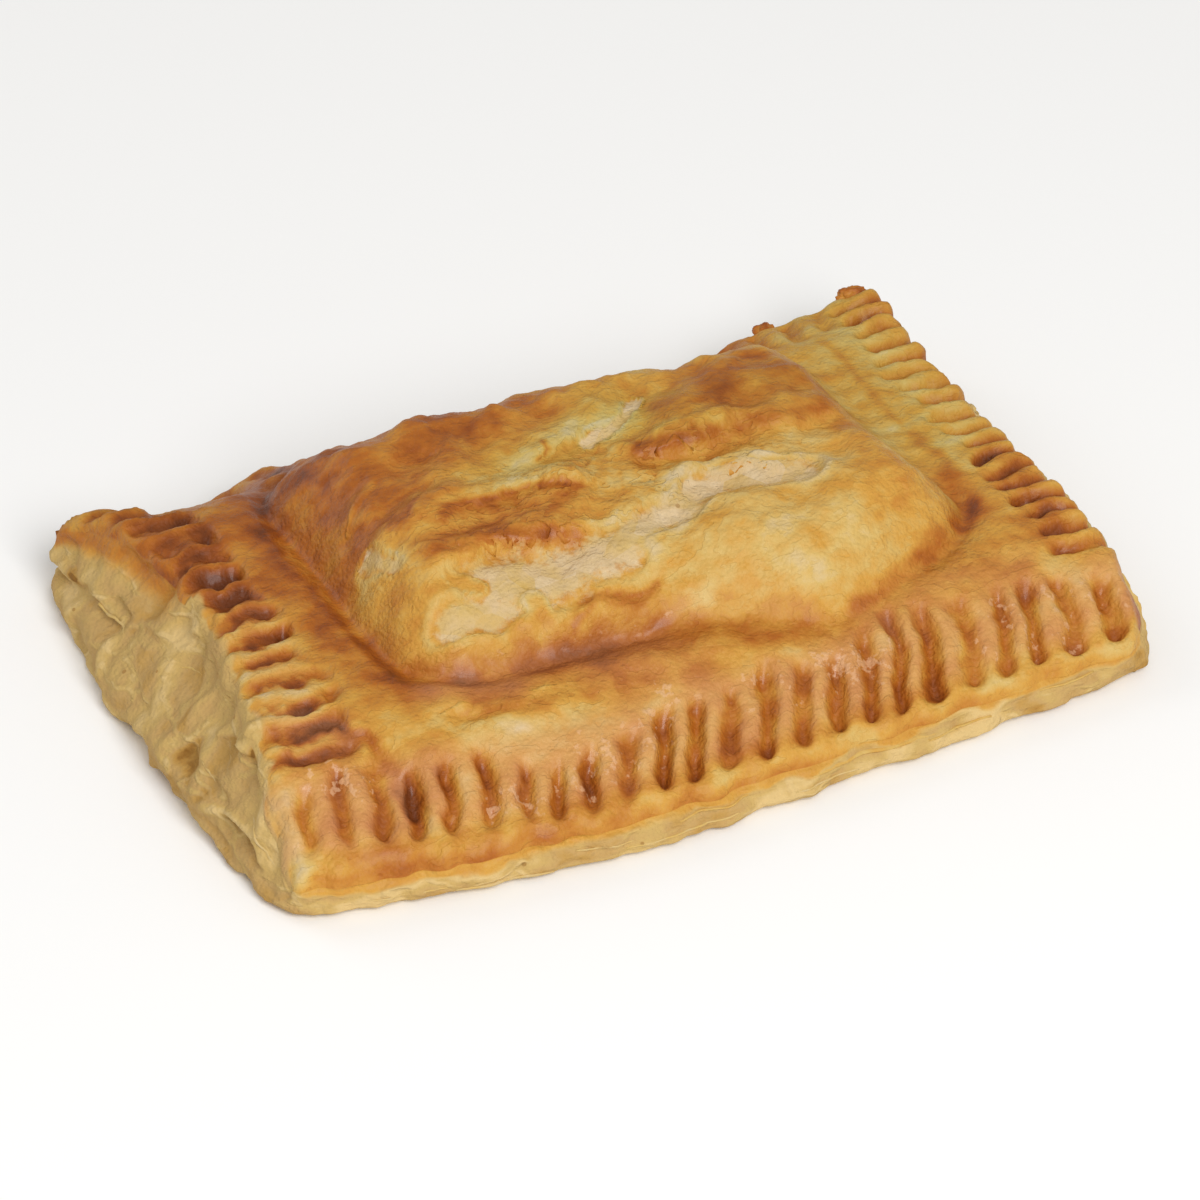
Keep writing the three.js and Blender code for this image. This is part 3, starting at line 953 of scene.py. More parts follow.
flat_x, flat_y = u[on_lid] * LENGTH / 2, v[on_lid] * WIDTH / 2
extra_height = lid_z - vault_height(flat_x, flat_y) - crown_height(flat_x, flat_y)
extra_height *= smoothstep(from_front, 18, 22)
wander_x, wander_y = ragged_place(lid_x + SEEN_SHIFT[0] * extra_height, lid_y + SEEN_SHIFT[1] * extra_height)
paleness = strokes_at(PALE, wander_x, wander_y)
lid_bake_and_shade = RIM_BAKE + (CROWN_BAKE - RIM_BAKE) * smoothstep(depth_in_crown(flat_x, flat_y), 0, 3)
lid_bake_and_shade += strokes_at(BROWNED, wander_x, wander_y) + paleness

streaks = noise_at(lid_x / 2.2, lid_y, lid_z, 3.4, seed=61.0)
# painted shade in the grooves of the fork marks, set for each row
groove_shade = 0.09 - (0.03 - 0.045 * left_half) * front_band + 0.13 * left_band
lid_bake_and_shade += groove_shade * lid_marks + 0.07 * lid_edge_shading + 0.13 * streaks + 0.1 * lid_hollow_shade
# painted shade on one wall of each groove in the left half, so the grooves read as lit from above
slope_across, slope_along = np.gradient(as_sheet(lid_marks), WIDTH / LID_ACROSS, LENGTH / LID_ALONG)
lid_bake_and_shade -= 0.08 * left_row * np.clip(slope_across[lid_row, lid_column], -STEEPEST, STEEPEST)
lid_bake_and_shade += 0.09 * left_half * front_band * np.clip(slope_along[lid_row, lid_column], -STEEPEST, STEEPEST)

calm = np.clip(-paleness / 0.16, 0, 1)
patchy = 0.2 * noise_at(lid_x, lid_y, lid_z, 8.0, seed=52.0, octaves=2)
lid_bake_and_shade += patchy * (1 - 0.7 * calm)
lid_bake_and_shade -= (0.06 + 0.03 * left_half) * front_band
worn = from_left + 4 * noise_at(lid_x, lid_y, lid_z, 4.0, seed=57.0)
lid_bake_and_shade -= 0.26 * (1 - smoothstep(worn, 1, 8)) * (1 - smoothstep(lid_y, 2, 18))
# painted highlight: paler tops on the ridges of the left and right rows of fork marks
lid_bake_and_shade -= (0.22 * left_band + 0.12 * right_band) * (1 - smoothstep(lid_marks, 0.3, 1.1))
lid_bake_and_shade -= (0.16 - 0.1 * left_half) * (1 - smoothstep(from_front, 0.8, 3.2))
lid_bake_and_shade -= 0.14 * bell((lid_peel + 0.1) / 0.35)
print("lid's bake:", round(float(lid_bake_and_shade.min()), 2), "to", round(float(lid_bake_and_shade.max()), 2))

# %% [markdown]
# ## Where bare dough shows
# The cut sides have colours of their own, so they get two more numbers: side, which is 1 on bare dough, and
# tone, from toasted to pale cream, which also carries the painted shade on the floors of the hollows. At the
# back of the left end and along the front some egg ran over the lid's edge and browned the top of the wall. At
# the rest of the left end the bare dough reaches a little way onto the lid, with a fringe that noise makes
# uneven.

# %% Bake, tone and mask of the sides
SIDE_BAKE = 0.2
UNDERSIDE_BAKE = 0.42
UNDERSIDE_TONE = 0.6
# small brown places in the left end: y, height, half width, half height
TOASTED_SPOTS = [(-24.5, 16.5, 0.8, 1.3), (-36, 17, 0.6, 0.8), (38, 8, 2.2, 0.6)]

wall_u, wall_v, wall_w = u[on_wall], v[on_wall], w[on_wall]
wall_x, wall_y, wall_z = x[on_wall], y[on_wall], z[on_wall]
at_left_end = wall_u < -BY_EDGE
at_front = (wall_v < -BY_EDGE) & ~at_left_end
uneven = 0.25 * noise_at(wall_x, wall_y, wall_z, 9.0, seed=66.0)
run_over = smoothstep(wall_w, 0.62, 0.9) * smoothstep(wall_y, 6, 24) * at_left_end
run_over += smoothstep(wall_w + uneven - 0.08 * wall_u, 0.66, 0.98) * at_front
bake_and_shade = np.full_like(u, UNDERSIDE_BAKE)
bake_and_shade[on_lid] = lid_bake_and_shade
bake_and_shade[on_wall] = SIDE_BAKE + np.where(at_front, 0.17, 0.36) * run_over

patches = 0.12 + 0.5 * noise_at(wall_x, wall_y, 2 * wall_z, 7.0, seed=93.0)
wall_tone += 0.55 * noise_at(wall_x, wall_y, wall_z, 13.0, seed=90.0) - 0.1
wall_tone -= np.where(wall_v < -BY_EDGE, patches, 0.17)
for spot_y, spot_z, half_width, half_height in TOASTED_SPOTS:
    reach = np.hypot((wall_y - spot_y) / half_width, (wall_z - spot_z) / half_height)
    wall_tone -= 1.3 * bell(reach) * at_left_end
tone = np.full_like(u, UNDERSIDE_TONE)
tone[on_wall] = wall_tone

from_edge = np.minimum((1 - np.abs(v)) * WIDTH / 2, (1 - np.abs(u)) * LENGTH / 2)
nearest_left = (1 + u) * LENGTH / 2 < from_edge + 0.01
fringe = 3.6 + 5 * noise_at(x, y, z, 5.0, seed=49.0)
pale_reach = np.maximum(np.where(nearest_left, fringe * (1 - smoothstep(y, 8, 26)), 0.6), 0.3)
side = np.where(on_lid, 1 - smoothstep(from_edge, 0, pale_reach), 1.0)
side[on_wall] -= 0.85 * run_over
side[on_lid & ((v < -BY_EDGE) | (y > 12))] = 0
print("sides' tone:", round(float(wall_tone.min()), 2), "to", round(float(wall_tone.max()), 2))

# %% [markdown]
# ## Egg bubbles with painted glints, a red tint and butter
# Three more things show on the lid. Bubbles in the egg wash catch the light, most of them on the fork marks:
# their map gives them gloss and bump, and painted glints in the colour. The crown's front foot and parts of
# the front rim are redder than the rest, and on the ridges between the fork marks the same pink tint is
# painted sheen. Near the middle and at the right, butter soaked through and left the crust duller. They are
# drawn with strokes too, and with that the maps are complete. All of them are stored as attributes on the
# mesh, where the material can read them.

# %% Flecks, tints and the stored maps
GLINT_STROKES = [
    ([(-38, -21.6), (-22, -22.6), (-4, -23), (6, -24)], 1.2, 0.4),
    ([(-62, -34), (-55, -36)], 3, 0.9),
    ([(-38, -43), (-32, -45)], 2.4, 0.9),
    ([(-27, -43), (-24, -45)], 2, 0.8),
    ([(-20, -42), (-17, -45)], 2, 0.8),
    ([(-12, -43), (-6, -36)], 1.8, 0.7),
    ([(-6, -35), (-3, -37)], 1.6, 0.6),
    ([(8, -36), (12, -40)], 1.8, 0.6),
    ([(18, -36), (20, -39)], 1.6, 1.0),
    ([(23, -38), (31, -37)], 2.4, 0.9),
    ([(44, -40), (46, -42)], 1.8, 0.8),
    ([(51, -34), (52, -40)], 2, 0.8),
    ([(58, -36), (58, -42)], 1.8, 0.9),
    ([(63, -35), (65, -38)], 2, 0.8),
    ([(-20, -8), (-10, -9)], 1.6, 0.4),
]
REDDENED = [
    ([(-40, -24.6), (-20, -25.6), (-4, -25.6)], 2.8, 0.35),
    ([(-39, -25.6), (-26, -26.8)], 2.6, 0.45),
    ([(-14, -30), (-2, -33)], 4, 0.35),
    ([(30, -33), (44, -30), (58, -30)], 3.0, 0.4),
    ([(-62, -24), (-56, -28)], 3.0, 0.4),
]
BUTTERED = [
    ([(60, 46), (62, 22), (61, 2)], 9, 0.5),
    ([(50, 38), (51, 20), (50, 4)], 6, 0.3),
    ([(-12, 11), (0, 12), (10, 17)], 7, 0.45),
    ([(14, 12), (40, 14)], 7, 0.5),
    ([(-62, 44), (-56, 36)], 8, 0.4),
]

ridge_top = 1 - smoothstep(lid_marks, 0.25, 1.1)
clusters = smoothstep(noise_at(lid_x, lid_y, lid_z, 9.0, seed=83.0), -0.35, 0.35)
band_glints = 0.4 * front_band * (0.35 + 0.65 * ridge_top) * clusters
peel = np.full_like(u, -1.0)
peel[on_lid] = lid_peel
glint_spots, red_tint_and_sheen, butter, flaky = (np.zeros_like(u) for _ in range(4))
glint_spots[on_lid] = band_glints + strokes_at(GLINT_STROKES, wander_x, wander_y)
# on the tops of the fork ridges this tint is painted sheen; the REDDENED strokes are redder dough
red_tint_and_sheen[on_lid] = (front_band + 0.35 * left_band) * ridge_top + strokes_at(REDDENED, wander_x, wander_y)
butter[on_lid] = strokes_at(BUTTERED, wander_x, wander_y)
flaky[on_lid] = np.clip(lid_flaky, 0.35, 1)
maps = {
    "bake_and_shade": bake_and_shade, "peel": peel, "side": side, "tone": tone,
    "glint_spots": glint_spots, "red_tint_and_sheen": red_tint_and_sheen, "butter": butter, "flaky": flaky,
}
for name, values in maps.items():
    crust.data.attributes.new(name, "FLOAT", "POINT").data.foreach_set("value", values)
print("stored maps:", ", ".join(maps))

# %% [markdown]
# ## Browning as a colour
# Sugar and protein in the egg take dough from cream through straw, gold and amber to red-brown. All the pie's
# pieces follow that one path, so it is a node group: it takes a bake value and gives a colour.

# %% Browning group
BAKE_COLOURS = [
    (0.00, (0.60, 0.46, 0.25)),
    (0.18, (0.60, 0.40, 0.12)),
    (0.34, (0.58, 0.30, 0.05)),
    (0.50, (0.50, 0.205, 0.028)),
    (0.66, (0.40, 0.12, 0.011)),
    (0.82, (0.27, 0.065, 0.006)),
    (1.00, (0.14, 0.032, 0.004)),
]


def new_group(name, inputs, outputs):
    group = bpy.data.node_groups.new(name, "ShaderNodeTree")
    for socket, default in inputs.items():
        made = group.interface.new_socket(socket, in_out="INPUT", socket_type="NodeSocketFloat")
        made.default_value = default
    for socket, kind in outputs.items():
        group.interface.new_socket(socket, in_out="OUTPUT", socket_type=kind)
    return group, group.nodes.new("NodeGroupInput"), group.nodes.new("NodeGroupOutput")


browning, browning_in, browning_out = new_group("browning", {"Bake": 0.5}, {"Color": "NodeSocketColor"})
baked = colour_ramp(browning, browning_in.outputs["Bake"], BAKE_COLOURS)
browning.links.new(baked, browning_out.inputs["Color"])
print("browning group:", len(BAKE_COLOURS), "colours")

# %% [markdown]
# ## Pastry grain
# Close up, the crust has a fine, crisp grain: tiny bubbles and flecks. This second group turns Object
# coordinates into a height for the bump and a mottle that shifts the bake a little. The two scales are in
# bumps per metre.

# %% Grain group
grain, grain_in, grain_out = new_group(
    "pastry grain",
    {"Coarse": 420.0, "Fine": 1500.0},
    {"Mottle": "NodeSocketFloat", "Height": "NodeSocketFloat"},
)
on_piece = add_node(grain, "TexCoord").outputs["Object"]
coarse_scale, fine_scale = grain_in.outputs["Coarse"], grain_in.outputs["Fine"]
coarse = add_node(grain, "TexNoise", {"Vector": on_piece, "Scale": coarse_scale, "Detail": 5.0})
fine_bubbles = add_node(grain, "TexVoronoi", {"Vector": on_piece, "Scale": fine_scale})
speckle = add_node(grain, "TexNoise", {"Vector": on_piece, "Scale": fine_scale, "Detail": 3.0})
mottle = maths(grain, "SUBTRACT", coarse.outputs["Fac"], 0.5)
bubbles = maths(grain, "SUBTRACT", 1.0, fine_bubbles.outputs["Distance"])
height = maths(grain, "MULTIPLY_ADD", bubbles, 0.25, coarse.outputs["Fac"])
height = maths(grain, "MULTIPLY_ADD", speckle.outputs["Fac"], 0.3, height)
grain.links.new(mottle, grain_out.inputs["Mottle"])
grain.links.new(height, grain_out.inputs["Height"])
print("grain group:", len(grain.nodes), "nodes")

# %% [markdown]
# ## The crust's material: the baked lid
# One material covers the whole crust, built up in layers from here on. The lid's colour is its bake, mottled
# by noise at two sizes and by leaves too thin to model: a noise field in steps, as with the shingles, that is
# stretched along the pie and strongest where the flaky map says so. Butter dulls the red in it.

# %% Lid colour
BUTTER_TINT = (0.85, 1.0, 0.92, 1)
LEAF_STRETCH = (70.0, 125.0, 100.0)
THIN_LEAF_STEPS = 9.0

crust_pastry, tree, shader = new_material("egg washed pastry")


def attribute(tree, name):
    return add_node(tree, "Attribute", attribute_name=name).outputs["Fac"]


position = add_node(tree, "TexCoord").outputs["Object"]
crust_grain = add_node(tree, "Group", {"Coarse": 420.0, "Fine": 1500.0}, node_tree=grain)
blotches = add_node(tree, "TexNoise", {"Vector": position, "Scale": 150.0, "Detail": 4.0, "Roughness": 0.6})
blotch = maths(tree, "SUBTRACT", blotches.outputs["Fac"], 0.5)
level = maths(tree, "MULTIPLY_ADD", blotch, 0.28, attribute(tree, "bake_and_shade"))
level = maths(tree, "MULTIPLY_ADD", crust_grain.outputs["Mottle"], 0.27, level)
long_way = add_node(tree, "Mapping", {"Vector": position, "Scale": LEAF_STRETCH}).outputs["Vector"]
thin_leaves = add_node(tree, "TexNoise", {"Vector": long_way, "Scale": 1.0, "Detail": 4.0, "Roughness": 0.6})
leaf_steps = maths(tree, "MULTIPLY", thin_leaves.outputs["Fac"], THIN_LEAF_STEPS)
leaf_part = maths(tree, "FRACT", leaf_steps, 0.0)
leaf_tooth = maths(tree, "SUBTRACT", between(tree, leaf_part, 0.0, 0.12), leaf_part)
leaf_tooth = maths(tree, "MULTIPLY", leaf_tooth, attribute(tree, "flaky"))
level = maths(tree, "MULTIPLY_ADD", leaf_tooth, -0.14, level)
lid_colour = add_node(tree, "Group", {"Bake": level}, node_tree=browning).outputs["Color"]
lid_colour = mix_colours(tree, attribute(tree, "butter"), lid_colour, BUTTER_TINT, "MULTIPLY")
print("lid colour:", len(tree.nodes), "nodes so far")

# %% [markdown]
# ## Peeled leaves
# Where the top leaf came away, the leaf below is cream. Fine noise, added to the peel map before it is cut
# off, makes the border hard and ragged. Voronoi cells give neighbouring leaves slightly different creams.

# %% Peeled colour
CREAM_COLOURS = [
    (0.20, (0.58, 0.38, 0.11)),
    (0.45, (0.60, 0.43, 0.19)),
    (0.65, (0.63, 0.475, 0.27)),
    (0.85, (0.72, 0.575, 0.37)),
]

torn_edge = add_node(tree, "TexNoise", {"Vector": position, "Scale": 320.0, "Detail": 5.0, "Roughness": 0.65})
peel_level = maths(tree, "MULTIPLY_ADD", torn_edge.outputs["Fac"], 2.2, attribute(tree, "peel"))
peel_level = maths(tree, "ADD", peel_level, -1.15)
peeled = between(tree, peel_level, -0.05, 0.5, 0.0, 0.9)
leaf_cells = add_node(tree, "TexVoronoi", {"Vector": position, "Scale": 210.0, "Randomness": 1.0})
cell_tone = add_node(tree, "SeparateColor", {"Color": leaf_cells.outputs["Color"]}).outputs["Green"]
cream_tone = maths(tree, "MULTIPLY_ADD", blotch, 1.2, maths(tree, "MULTIPLY_ADD", cell_tone, 0.35, 0.33))
colour = mix_colours(tree, peeled, lid_colour, colour_ramp(tree, cream_tone, CREAM_COLOURS))
print("peeled colour:", len(tree.nodes), "nodes so far")

# %% [markdown]
# ## Bare sides
# The cut sides show the layers of the dough from their ends. Noise that is squeezed in height gives thin
# level lines, and the borders of flattened Voronoi cells, bent by more noise, give the paler rims of single
# leaves.

# %% Side colour
SIDE_COLOURS = [
    (0.00, (0.26, 0.12, 0.02)),
    (0.12, (0.41, 0.22, 0.05)),
    (0.30, (0.47, 0.275, 0.075)),
    (0.50, (0.50, 0.315, 0.115)),
    (0.75, (0.54, 0.36, 0.12)),
    (1.00, (0.64, 0.45, 0.19)),
]
LAYER_SQUEEZE = (60.0, 60.0, 420.0)
CELL_SQUEEZE = (95.0, 95.0, 190.0)

stretched = add_node(tree, "Mapping", {"Vector": position, "Scale": LAYER_SQUEEZE}).outputs["Vector"]
layer_lines = add_node(tree, "TexNoise", {"Vector": stretched, "Scale": 1.0, "Detail": 4.0, "Roughness": 0.65})
layer_tone = maths(tree, "SUBTRACT", layer_lines.outputs["Fac"], 0.5)
side_tone = maths(tree, "MULTIPLY_ADD", layer_tone, 0.35, attribute(tree, "tone"))
side_tone = maths(tree, "MULTIPLY_ADD", blotch, 0.9, side_tone)
side_warp = add_node(tree, "TexNoise", {"Vector": position, "Scale": 160.0, "Detail": 3.0})
side_place = add_node(tree, "Mapping", {"Vector": position, "Scale": CELL_SQUEEZE}).outputs["Vector"]
side_place = mix_colours(tree, 0.35, side_place, side_warp.outputs["Color"], "ADD")
leaf_edges = add_node(tree, "TexVoronoi", {"Vector": side_place, "Scale": 1.0}, feature="DISTANCE_TO_EDGE")
leaf_rim = between(tree, leaf_edges.outputs["Distance"], 0.015, 0.075, 1.0, 0.0)
leaf_rim = maths(tree, "MULTIPLY", leaf_rim, between(tree, layer_lines.outputs["Fac"], 0.42, 0.6))
side_tone = maths(tree, "MULTIPLY_ADD", leaf_rim, 0.3, side_tone)
side_mask = maths(tree, "MULTIPLY_ADD", blotch, 0.8, attribute(tree, "side"))
side_mask = between(tree, side_mask, 0.2, 0.8)
colour = mix_colours(tree, side_mask, colour, colour_ramp(tree, side_tone, SIDE_COLOURS))
bare = maths(tree, "MAXIMUM", peeled, side_mask)
print("side colour:", len(tree.nodes), "nodes so far")

# %% [markdown]
# ## Tints, painted glints and specks
# The red tint, with its painted sheen on the fork ridges, is mixed in where its map says so. Painted glints,
# the light off bubbles in the egg wash, are the peaks of a fine noise, and the glint map raises that noise, so
# that many peaks pass the limit on the fork marks and hardly any elsewhere. On bare dough a few Voronoi cells
# get a small brown speck at their centre.
# On bare dough a few Voronoi cells get a small brown speck at their centre.

# %% Small marks on the colour
RED_AND_SHEEN_TINT = (0.6, 0.29, 0.14, 1)
PAINTED_GLINT_COLOUR = (0.72, 0.43, 0.24, 1)
SPECK_COLOUR = (0.3, 0.14, 0.03, 1)

# the red tint: redder dough, and painted sheen on the fork ridges
colour = mix_colours(tree, maths(tree, "MULTIPLY", attribute(tree, "red_tint_and_sheen"), 0.4), colour, RED_AND_SHEEN_TINT)
dots = add_node(tree, "TexNoise", {"Vector": position, "Scale": 620.0, "Detail": 3.0, "Roughness": 0.6})
glint_level = attribute(tree, "glint_spots")
# painted glints: light off the egg bubbles, put into the colour as pale dots
painted_glint_mask = between(tree, maths(tree, "MULTIPLY_ADD", glint_level, 0.17, dots.outputs["Fac"]), 0.67, 0.76)
painted_glint_mask = maths(tree, "MULTIPLY", painted_glint_mask, between(tree, glint_level, 0.1, 0.5))
colour = mix_colours(tree, maths(tree, "MULTIPLY", painted_glint_mask, 0.5), colour, PAINTED_GLINT_COLOUR)
specks = add_node(tree, "TexVoronoi", {"Vector": position, "Scale": 330.0, "Randomness": 1.0})
speck_choice = add_node(tree, "SeparateColor", {"Color": specks.outputs["Color"]}).outputs["Red"]
speck_size = between(tree, speck_choice, 0.7, 1.0, 0.0, 0.13)
speck_mask = maths(tree, "LESS_THAN", specks.outputs["Distance"], speck_size)
speck_mask = maths(tree, "MULTIPLY", speck_mask, bare)
colour = mix_colours(tree, maths(tree, "MULTIPLY", speck_mask, 0.6), colour, SPECK_COLOUR)
tree.links.new(colour, shader.inputs["Base Color"])
print("crust colour:", len(tree.nodes), "nodes so far")

# %% [markdown]
# ## Gloss and bump
# The egg wash is a coat. It is strongest on the browned lid and on the dried bubbles, and missing where bare
# dough shows, which is also rougher. The bump brings together the grain, the layer lines and leaf rims of the
# sides, the bubbles' crackle and the thin leaves of the lid.

# %% Egg wash and bump
egg = maths(tree, "MULTIPLY", between(tree, level, 0.35, 0.8, 0.05, 0.2), maths(tree, "SUBTRACT", 1.0, bare))
egg = maths(tree, "MULTIPLY_ADD", glint_level, 0.28, egg)
tree.links.new(egg, shader.inputs["Coat Weight"])
tree.links.new(between(tree, bare, 0.0, 1.0, 0.52, 0.78), shader.inputs["Roughness"])
shader.inputs["Specular IOR Level"].default_value = 0.2
shader.inputs["Coat Roughness"].default_value = 0.2

layer_height = maths(tree, "MULTIPLY_ADD", leaf_rim, 0.4, layer_lines.outputs["Fac"])
layer_height = maths(tree, "MULTIPLY", layer_height, side_mask)
crackle = maths(tree, "MULTIPLY", glint_level, dots.outputs["Fac"])
bump_height = maths(tree, "MULTIPLY_ADD", layer_height, 0.8, crust_grain.outputs["Height"])
bump_height = maths(tree, "MULTIPLY_ADD", crackle, 0.7, bump_height)
bump_height = maths(tree, "MULTIPLY_ADD", leaf_tooth, 0.5, bump_height)
bump = add_node(tree, "Bump", {"Height": bump_height, "Strength": 0.55, "Distance": 0.001})
tree.links.new(bump.outputs["Normal"], shader.inputs["Normal"])
crust.data.materials.append(crust_pastry)
print("crust material:", len(tree.nodes), "nodes")

# %% [markdown]
# ## Loose leaves at the sides
# Along the cut sides single leaves of dough stick out past their neighbours, with ragged, lightly toasted
# edges. Each leaf is a small grid. One long side of it is sunk into the wall and the other is drawn out, by a
# different amount at each step, and then the sheet gets its thickness from solidify. Their sizes and places
# are drawn from a seeded list of random numbers, so that every run gives the same leaves.

# %% Side leaves
LEAF_THICKNESS = 0.24
LEAF_STEPS = 18
LEAF_ROOT = 0.9  # mm that a leaf is sunk into the wall
# side of the pie: leaves, lowest and highest share of the wall, longest half length, farthest reach
LEAF_ROWS = {
    "left": (5, 0.5, 0.85, 8, 0.5),
    "right": (12, 0.12, 0.85, 8, 0.7),
    "front": (9, 0.2, 0.8, 12, 0.35),
    "back": (12, 0.12, 0.85, 11, 0.7),
}
leaf_draw = random.Random(7)


def edge_place(side, along):
    end = np.full_like(along, 0.99995)
    return {"left": (-end, along), "right": (end, along), "front": (along, -end), "back": (along, end)}[side]


def add_leaf(bm, side, middle, half_length, share, reach):
    made = bmesh.ops.create_grid(bm, x_segments=LEAF_STEPS, y_segments=3, size=1)["verts"]
    along = np.array([vert.co.x for vert in made])
    out = np.array([(vert.co.y + 1) / 2 for vert in made])
    slope = leaf_draw.uniform(-0.06, 0.06)
    phase = leaf_draw.uniform(0, 40)
    curl = leaf_draw.uniform(-0.5, 0.5)
    u_leaf, v_leaf = edge_place(side, middle + along * half_length)
    w_leaf = share + slope * along + 0.02 * waver(30 * along + phase, 0 * along)
    x_leaf, y_leaf, z_leaf, _ = wall_surface(u_leaf, v_leaf, w_leaf)
    ragged = 1 + 0.45 * waver(45 * along + phase, 20 * along)
    drawn = -LEAF_ROOT + out * (LEAF_ROOT + reach * ragged * (1 - along ** 2))
    out_x, out_y = outward(u_leaf, v_leaf)
    x_leaf, y_leaf, z_leaf = x_leaf + out_x * drawn, y_leaf + out_y * drawn, z_leaf + curl * out ** 2
    for vert, place in zip(made, np.column_stack((x_leaf, y_leaf, z_leaf)) * MM):
        vert.co = place
    return made


def solid_sheet(bm, name, thickness):
    bmesh.ops.solidify(bm, geom=bm.faces, thickness=thickness * MM)
    bmesh.ops.recalc_face_normals(bm, faces=bm.faces)
    piece = link_mesh(bm, name)
    piece.data.shade_smooth()
    return piece


leaf_mesh = bmesh.new()
leaf_bake = leaf_mesh.verts.layers.float.new("bake_and_shade")
for side_name, (count, lowest, highest, longest, farthest) in LEAF_ROWS.items():
    side_length = WIDTH if side_name in ("left", "right") else LENGTH
    for index in range(count):
        half_length = leaf_draw.uniform(0.35, 1.0) * longest / (side_length / 2)
        middle = (0.93 - half_length) * (-1 + 2 * (index + leaf_draw.uniform(0.1, 0.9)) / count)
        share = leaf_draw.uniform(lowest, highest)
        toasted = leaf_draw.uniform(0.1, 0.24)
        reach = farthest * leaf_draw.uniform(0.35, 1)
        for vert in add_leaf(leaf_mesh, side_name, middle, half_length, share, reach):
            vert[leaf_bake] = toasted
leaves = solid_sheet(leaf_mesh, "side_leaves", LEAF_THICKNESS)
print("side leaves:", sum(row[0] for row in LEAF_ROWS.values()), "vertices:", len(leaves.data.vertices))

# %% [markdown]
# ## Lifted flakes
# At the torn edges small sheets of the top leaf stand up from the crown. Each starts as a grid. Its outline
# is made ragged, it is laid on the crust by looking up the nearest vertices below it, and then one edge is
# sunk into the crust and the other raised, so that it peels away from the surface instead of lying on it. It
# takes the bake of the crust below, so it has no seam of colour where it grows out, and it grows a little
# paler towards the free edge, a painted highlight.

# %% Crown flakes
FLAKE_THICKNESS = 0.2
FLAKE_ROOT = 0.35  # mm that the attached edge is sunk into the crust
# x, y, the direction of the attached edge in degrees, half length, half width, lift
FLAKES = [
    (-24, -7.0, 190, 3.2, 1.2, 0.25),
    (-16, -7.4, 170, 3.6, 1.4, 0.3),
    (-9, -8.8, 165, 2.4, 1.0, 0.3),
    (19, -2.2, 160, 3.2, 1.2, 0.3),
    (25.5, -4.2, 155, 3.0, 1.2, 0.3),
    (14, 3.6, 172, 3.0, 1.2, 0.3),
    (-36, 10.5, 230, 2.6, 1.0, 0.2),
    (-38, -30.2, 182, 3.2, 1.0, 0.2),
    (-24, -31, 175, 2.8, 1.0, 0.2),
]
flake_draw = random.Random(19)

top_x, top_y, top_z = x[on_lid], y[on_lid], z[on_lid]
lid_tree = kdtree.KDTree(len(top_x))
for index, place in enumerate(zip(top_x.tolist(), top_y.tolist())):
    lid_tree.insert((*place, 0), index)
lid_tree.balance()


def crust_below(place_x, place_y):
    near = lid_tree.find_n((place_x, place_y, 0), 4)
    weights = [1 / (distance + 0.05) for _, _, distance in near]
    height = sum(weight * top_z[index] for weight, (_, index, _) in zip(weights, near)) / sum(weights)
    return height, lid_bake_and_shade[near[0][1]]


def add_flake(bm, bake_and_highlight_layer, place_x, place_y, turn, half_length, half_width, lift):
    made = bmesh.ops.create_grid(bm, x_segments=9, y_segments=6, size=1)["verts"]
    phase = flake_draw.uniform(0, 60)
    for vert in made:
        along, across = vert.co.x, vert.co.y
        ragged = 1 + 0.55 * float(waver(22 * along + phase, 7 * across))
        local_x = half_length * along * (1 + 0.15 * float(waver(9 * across + phase, 0)))
        local_y = half_width * across * ragged * math.sqrt(1 - 0.75 * along * along)
        spot_x = place_x + local_x * math.cos(turn) + local_y * math.sin(turn)
        spot_y = place_y + local_x * math.sin(turn) - local_y * math.cos(turn)
        height, bake_and_shade_below = crust_below(spot_x, spot_y)
        free = ((across + 1) / 2) ** 1.5 * math.sqrt(max(1 - along * along, 0))
        vert.co = Vector((spot_x, spot_y, height - FLAKE_ROOT + (FLAKE_ROOT + lift) * free)) * MM
        # a painted highlight: the flake is paler towards its free edge
        vert[bake_and_highlight_layer] = bake_and_shade_below - 0.1 * free
    return made


flake_mesh = bmesh.new()
flake_bake_and_highlight = flake_mesh.verts.layers.float.new("bake_and_shade")
flake_peel = flake_mesh.verts.layers.float.new("peel")
for place_x, place_y, turn, half_length, half_width, lift in FLAKES:
    turn = math.radians(turn)
    for vert in add_flake(flake_mesh, flake_bake_and_highlight, place_x, place_y, turn, half_length, half_width, lift):
        vert[flake_peel] = -1
flakes = solid_sheet(flake_mesh, "crown_flakes", FLAKE_THICKNESS)
print("crown flakes:", len(FLAKES))

# %% [markdown]
# ## Scraps on the back edge
# Two small scraps of dough stuck to the back edge and browned hard. Each is a sphere, stretched and made
# lumpy.

# %% Edge scraps
# middle, half size
SCRAPS = [
    ((66.5, 47.2, 14.6), (2.7, 1.8, 1.8)),
    ((51.5, 47.8, 11.6), (2.0, 1.7, 1.5)),
]

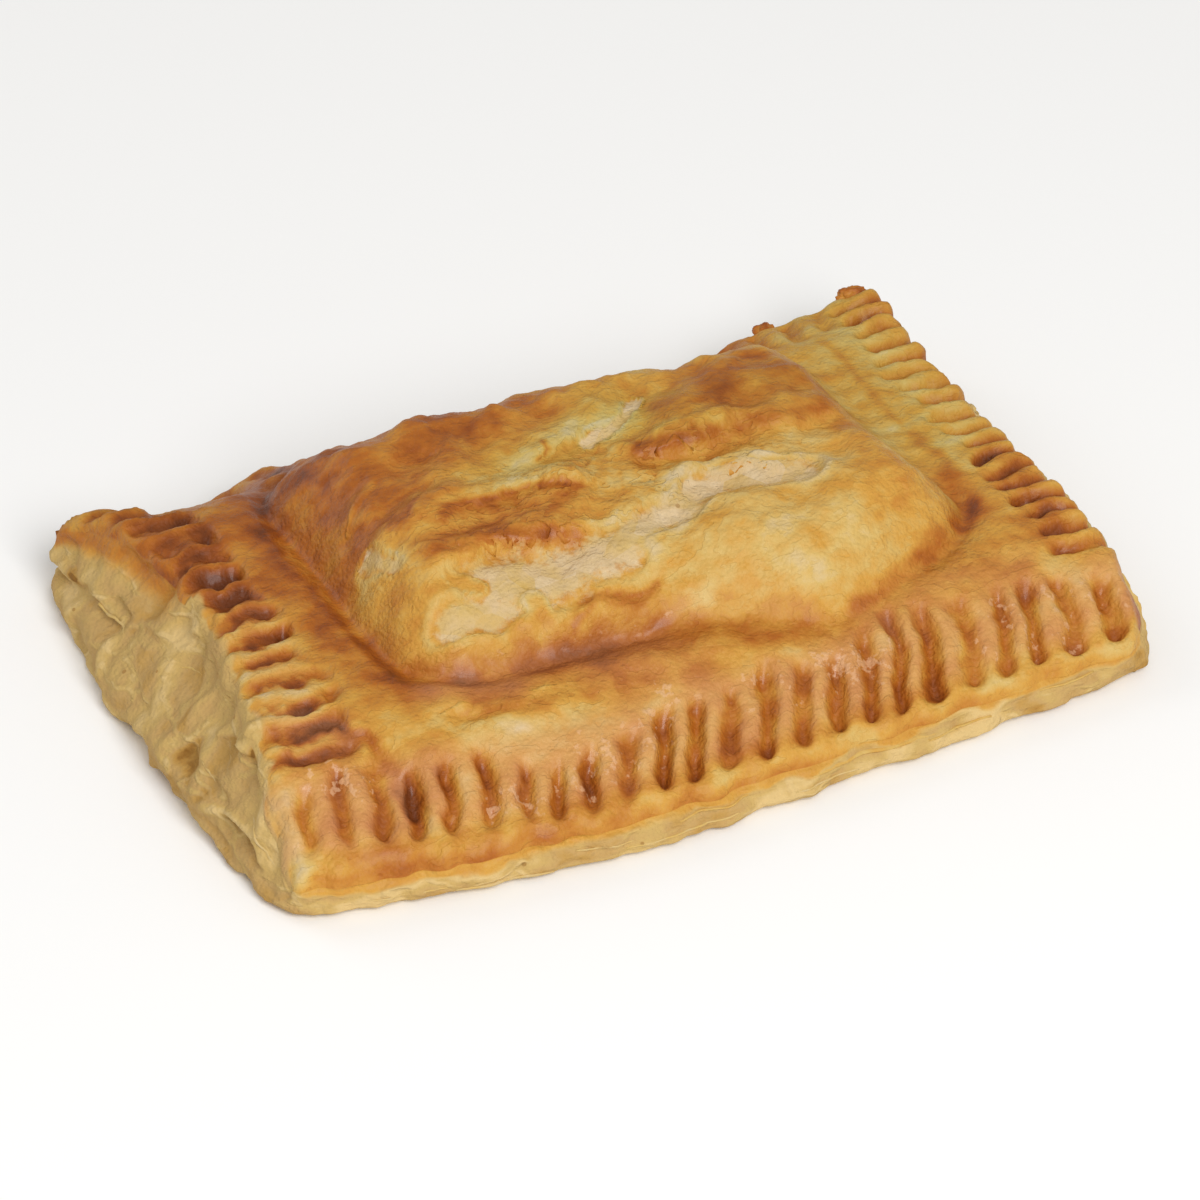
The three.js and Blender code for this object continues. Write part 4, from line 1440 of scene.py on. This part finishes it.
scrap_mesh = bmesh.new()
scrap_bake = scrap_mesh.verts.layers.float.new("bake_and_shade")
for place, half_size in SCRAPS:
    made = bmesh.ops.create_icosphere(scrap_mesh, subdivisions=5, radius=1)["verts"]
    for vert in made:
        lump = noise.fractal(1.6 * vert.co + Vector(place), 1.0, 2.0, 4)
        grown = vert.co * (1 + 0.3 * lump)
        vert.co = (Vector(place) + Vector([part * size for part, size in zip(grown, half_size)])) * MM
        vert[scrap_bake] = 0.62 + 0.25 * lump
bmesh.ops.recalc_face_normals(scrap_mesh, faces=scrap_mesh.faces)
scraps = link_mesh(scrap_mesh, "edge_scraps")
scraps.data.shade_smooth()
print("scraps:", len(SCRAPS))

# %% [markdown]
# ## Bare dough and crisp scraps
# The flakes came off the lid, so they take the crust's own material. It reads their bake and peel, and the
# maps that they lack count as zero. The leaves and the scraps share only the browning and the grain with the
# crust, so they need a short material: their own bake value, mottled a little, and a surface without egg.

# %% Leaf, flake and scrap materials
def dough_material(name, roughness, mottling):
    material, tree, shader = new_material(name)
    dough_grain = add_node(tree, "Group", {"Coarse": 500.0, "Fine": 1800.0}, node_tree=grain)
    level = maths(tree, "MULTIPLY_ADD", dough_grain.outputs["Mottle"], mottling, attribute(tree, "bake_and_shade"))
    browned = add_node(tree, "Group", {"Bake": level}, node_tree=browning)
    tree.links.new(browned.outputs["Color"], shader.inputs["Base Color"])
    shader.inputs["Roughness"].default_value = roughness
    shader.inputs["Specular IOR Level"].default_value = 0.25
    height = dough_grain.outputs["Height"]
    bump = add_node(tree, "Bump", {"Height": height, "Strength": 0.4, "Distance": 0.0005})
    tree.links.new(bump.outputs["Normal"], shader.inputs["Normal"])
    return material


leaves.data.materials.append(dough_material("bare dough leaf", 0.75, 0.35))
flakes.data.materials.append(crust_pastry)
scraps.data.materials.append(dough_material("browned scrap", 0.5, 0.5))
print("materials:", len(bpy.data.materials))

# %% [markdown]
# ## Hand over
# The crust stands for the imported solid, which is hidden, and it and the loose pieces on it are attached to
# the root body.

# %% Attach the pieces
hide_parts("pie")
for piece in (crust, leaves, flakes, scraps):
    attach(piece, "root")
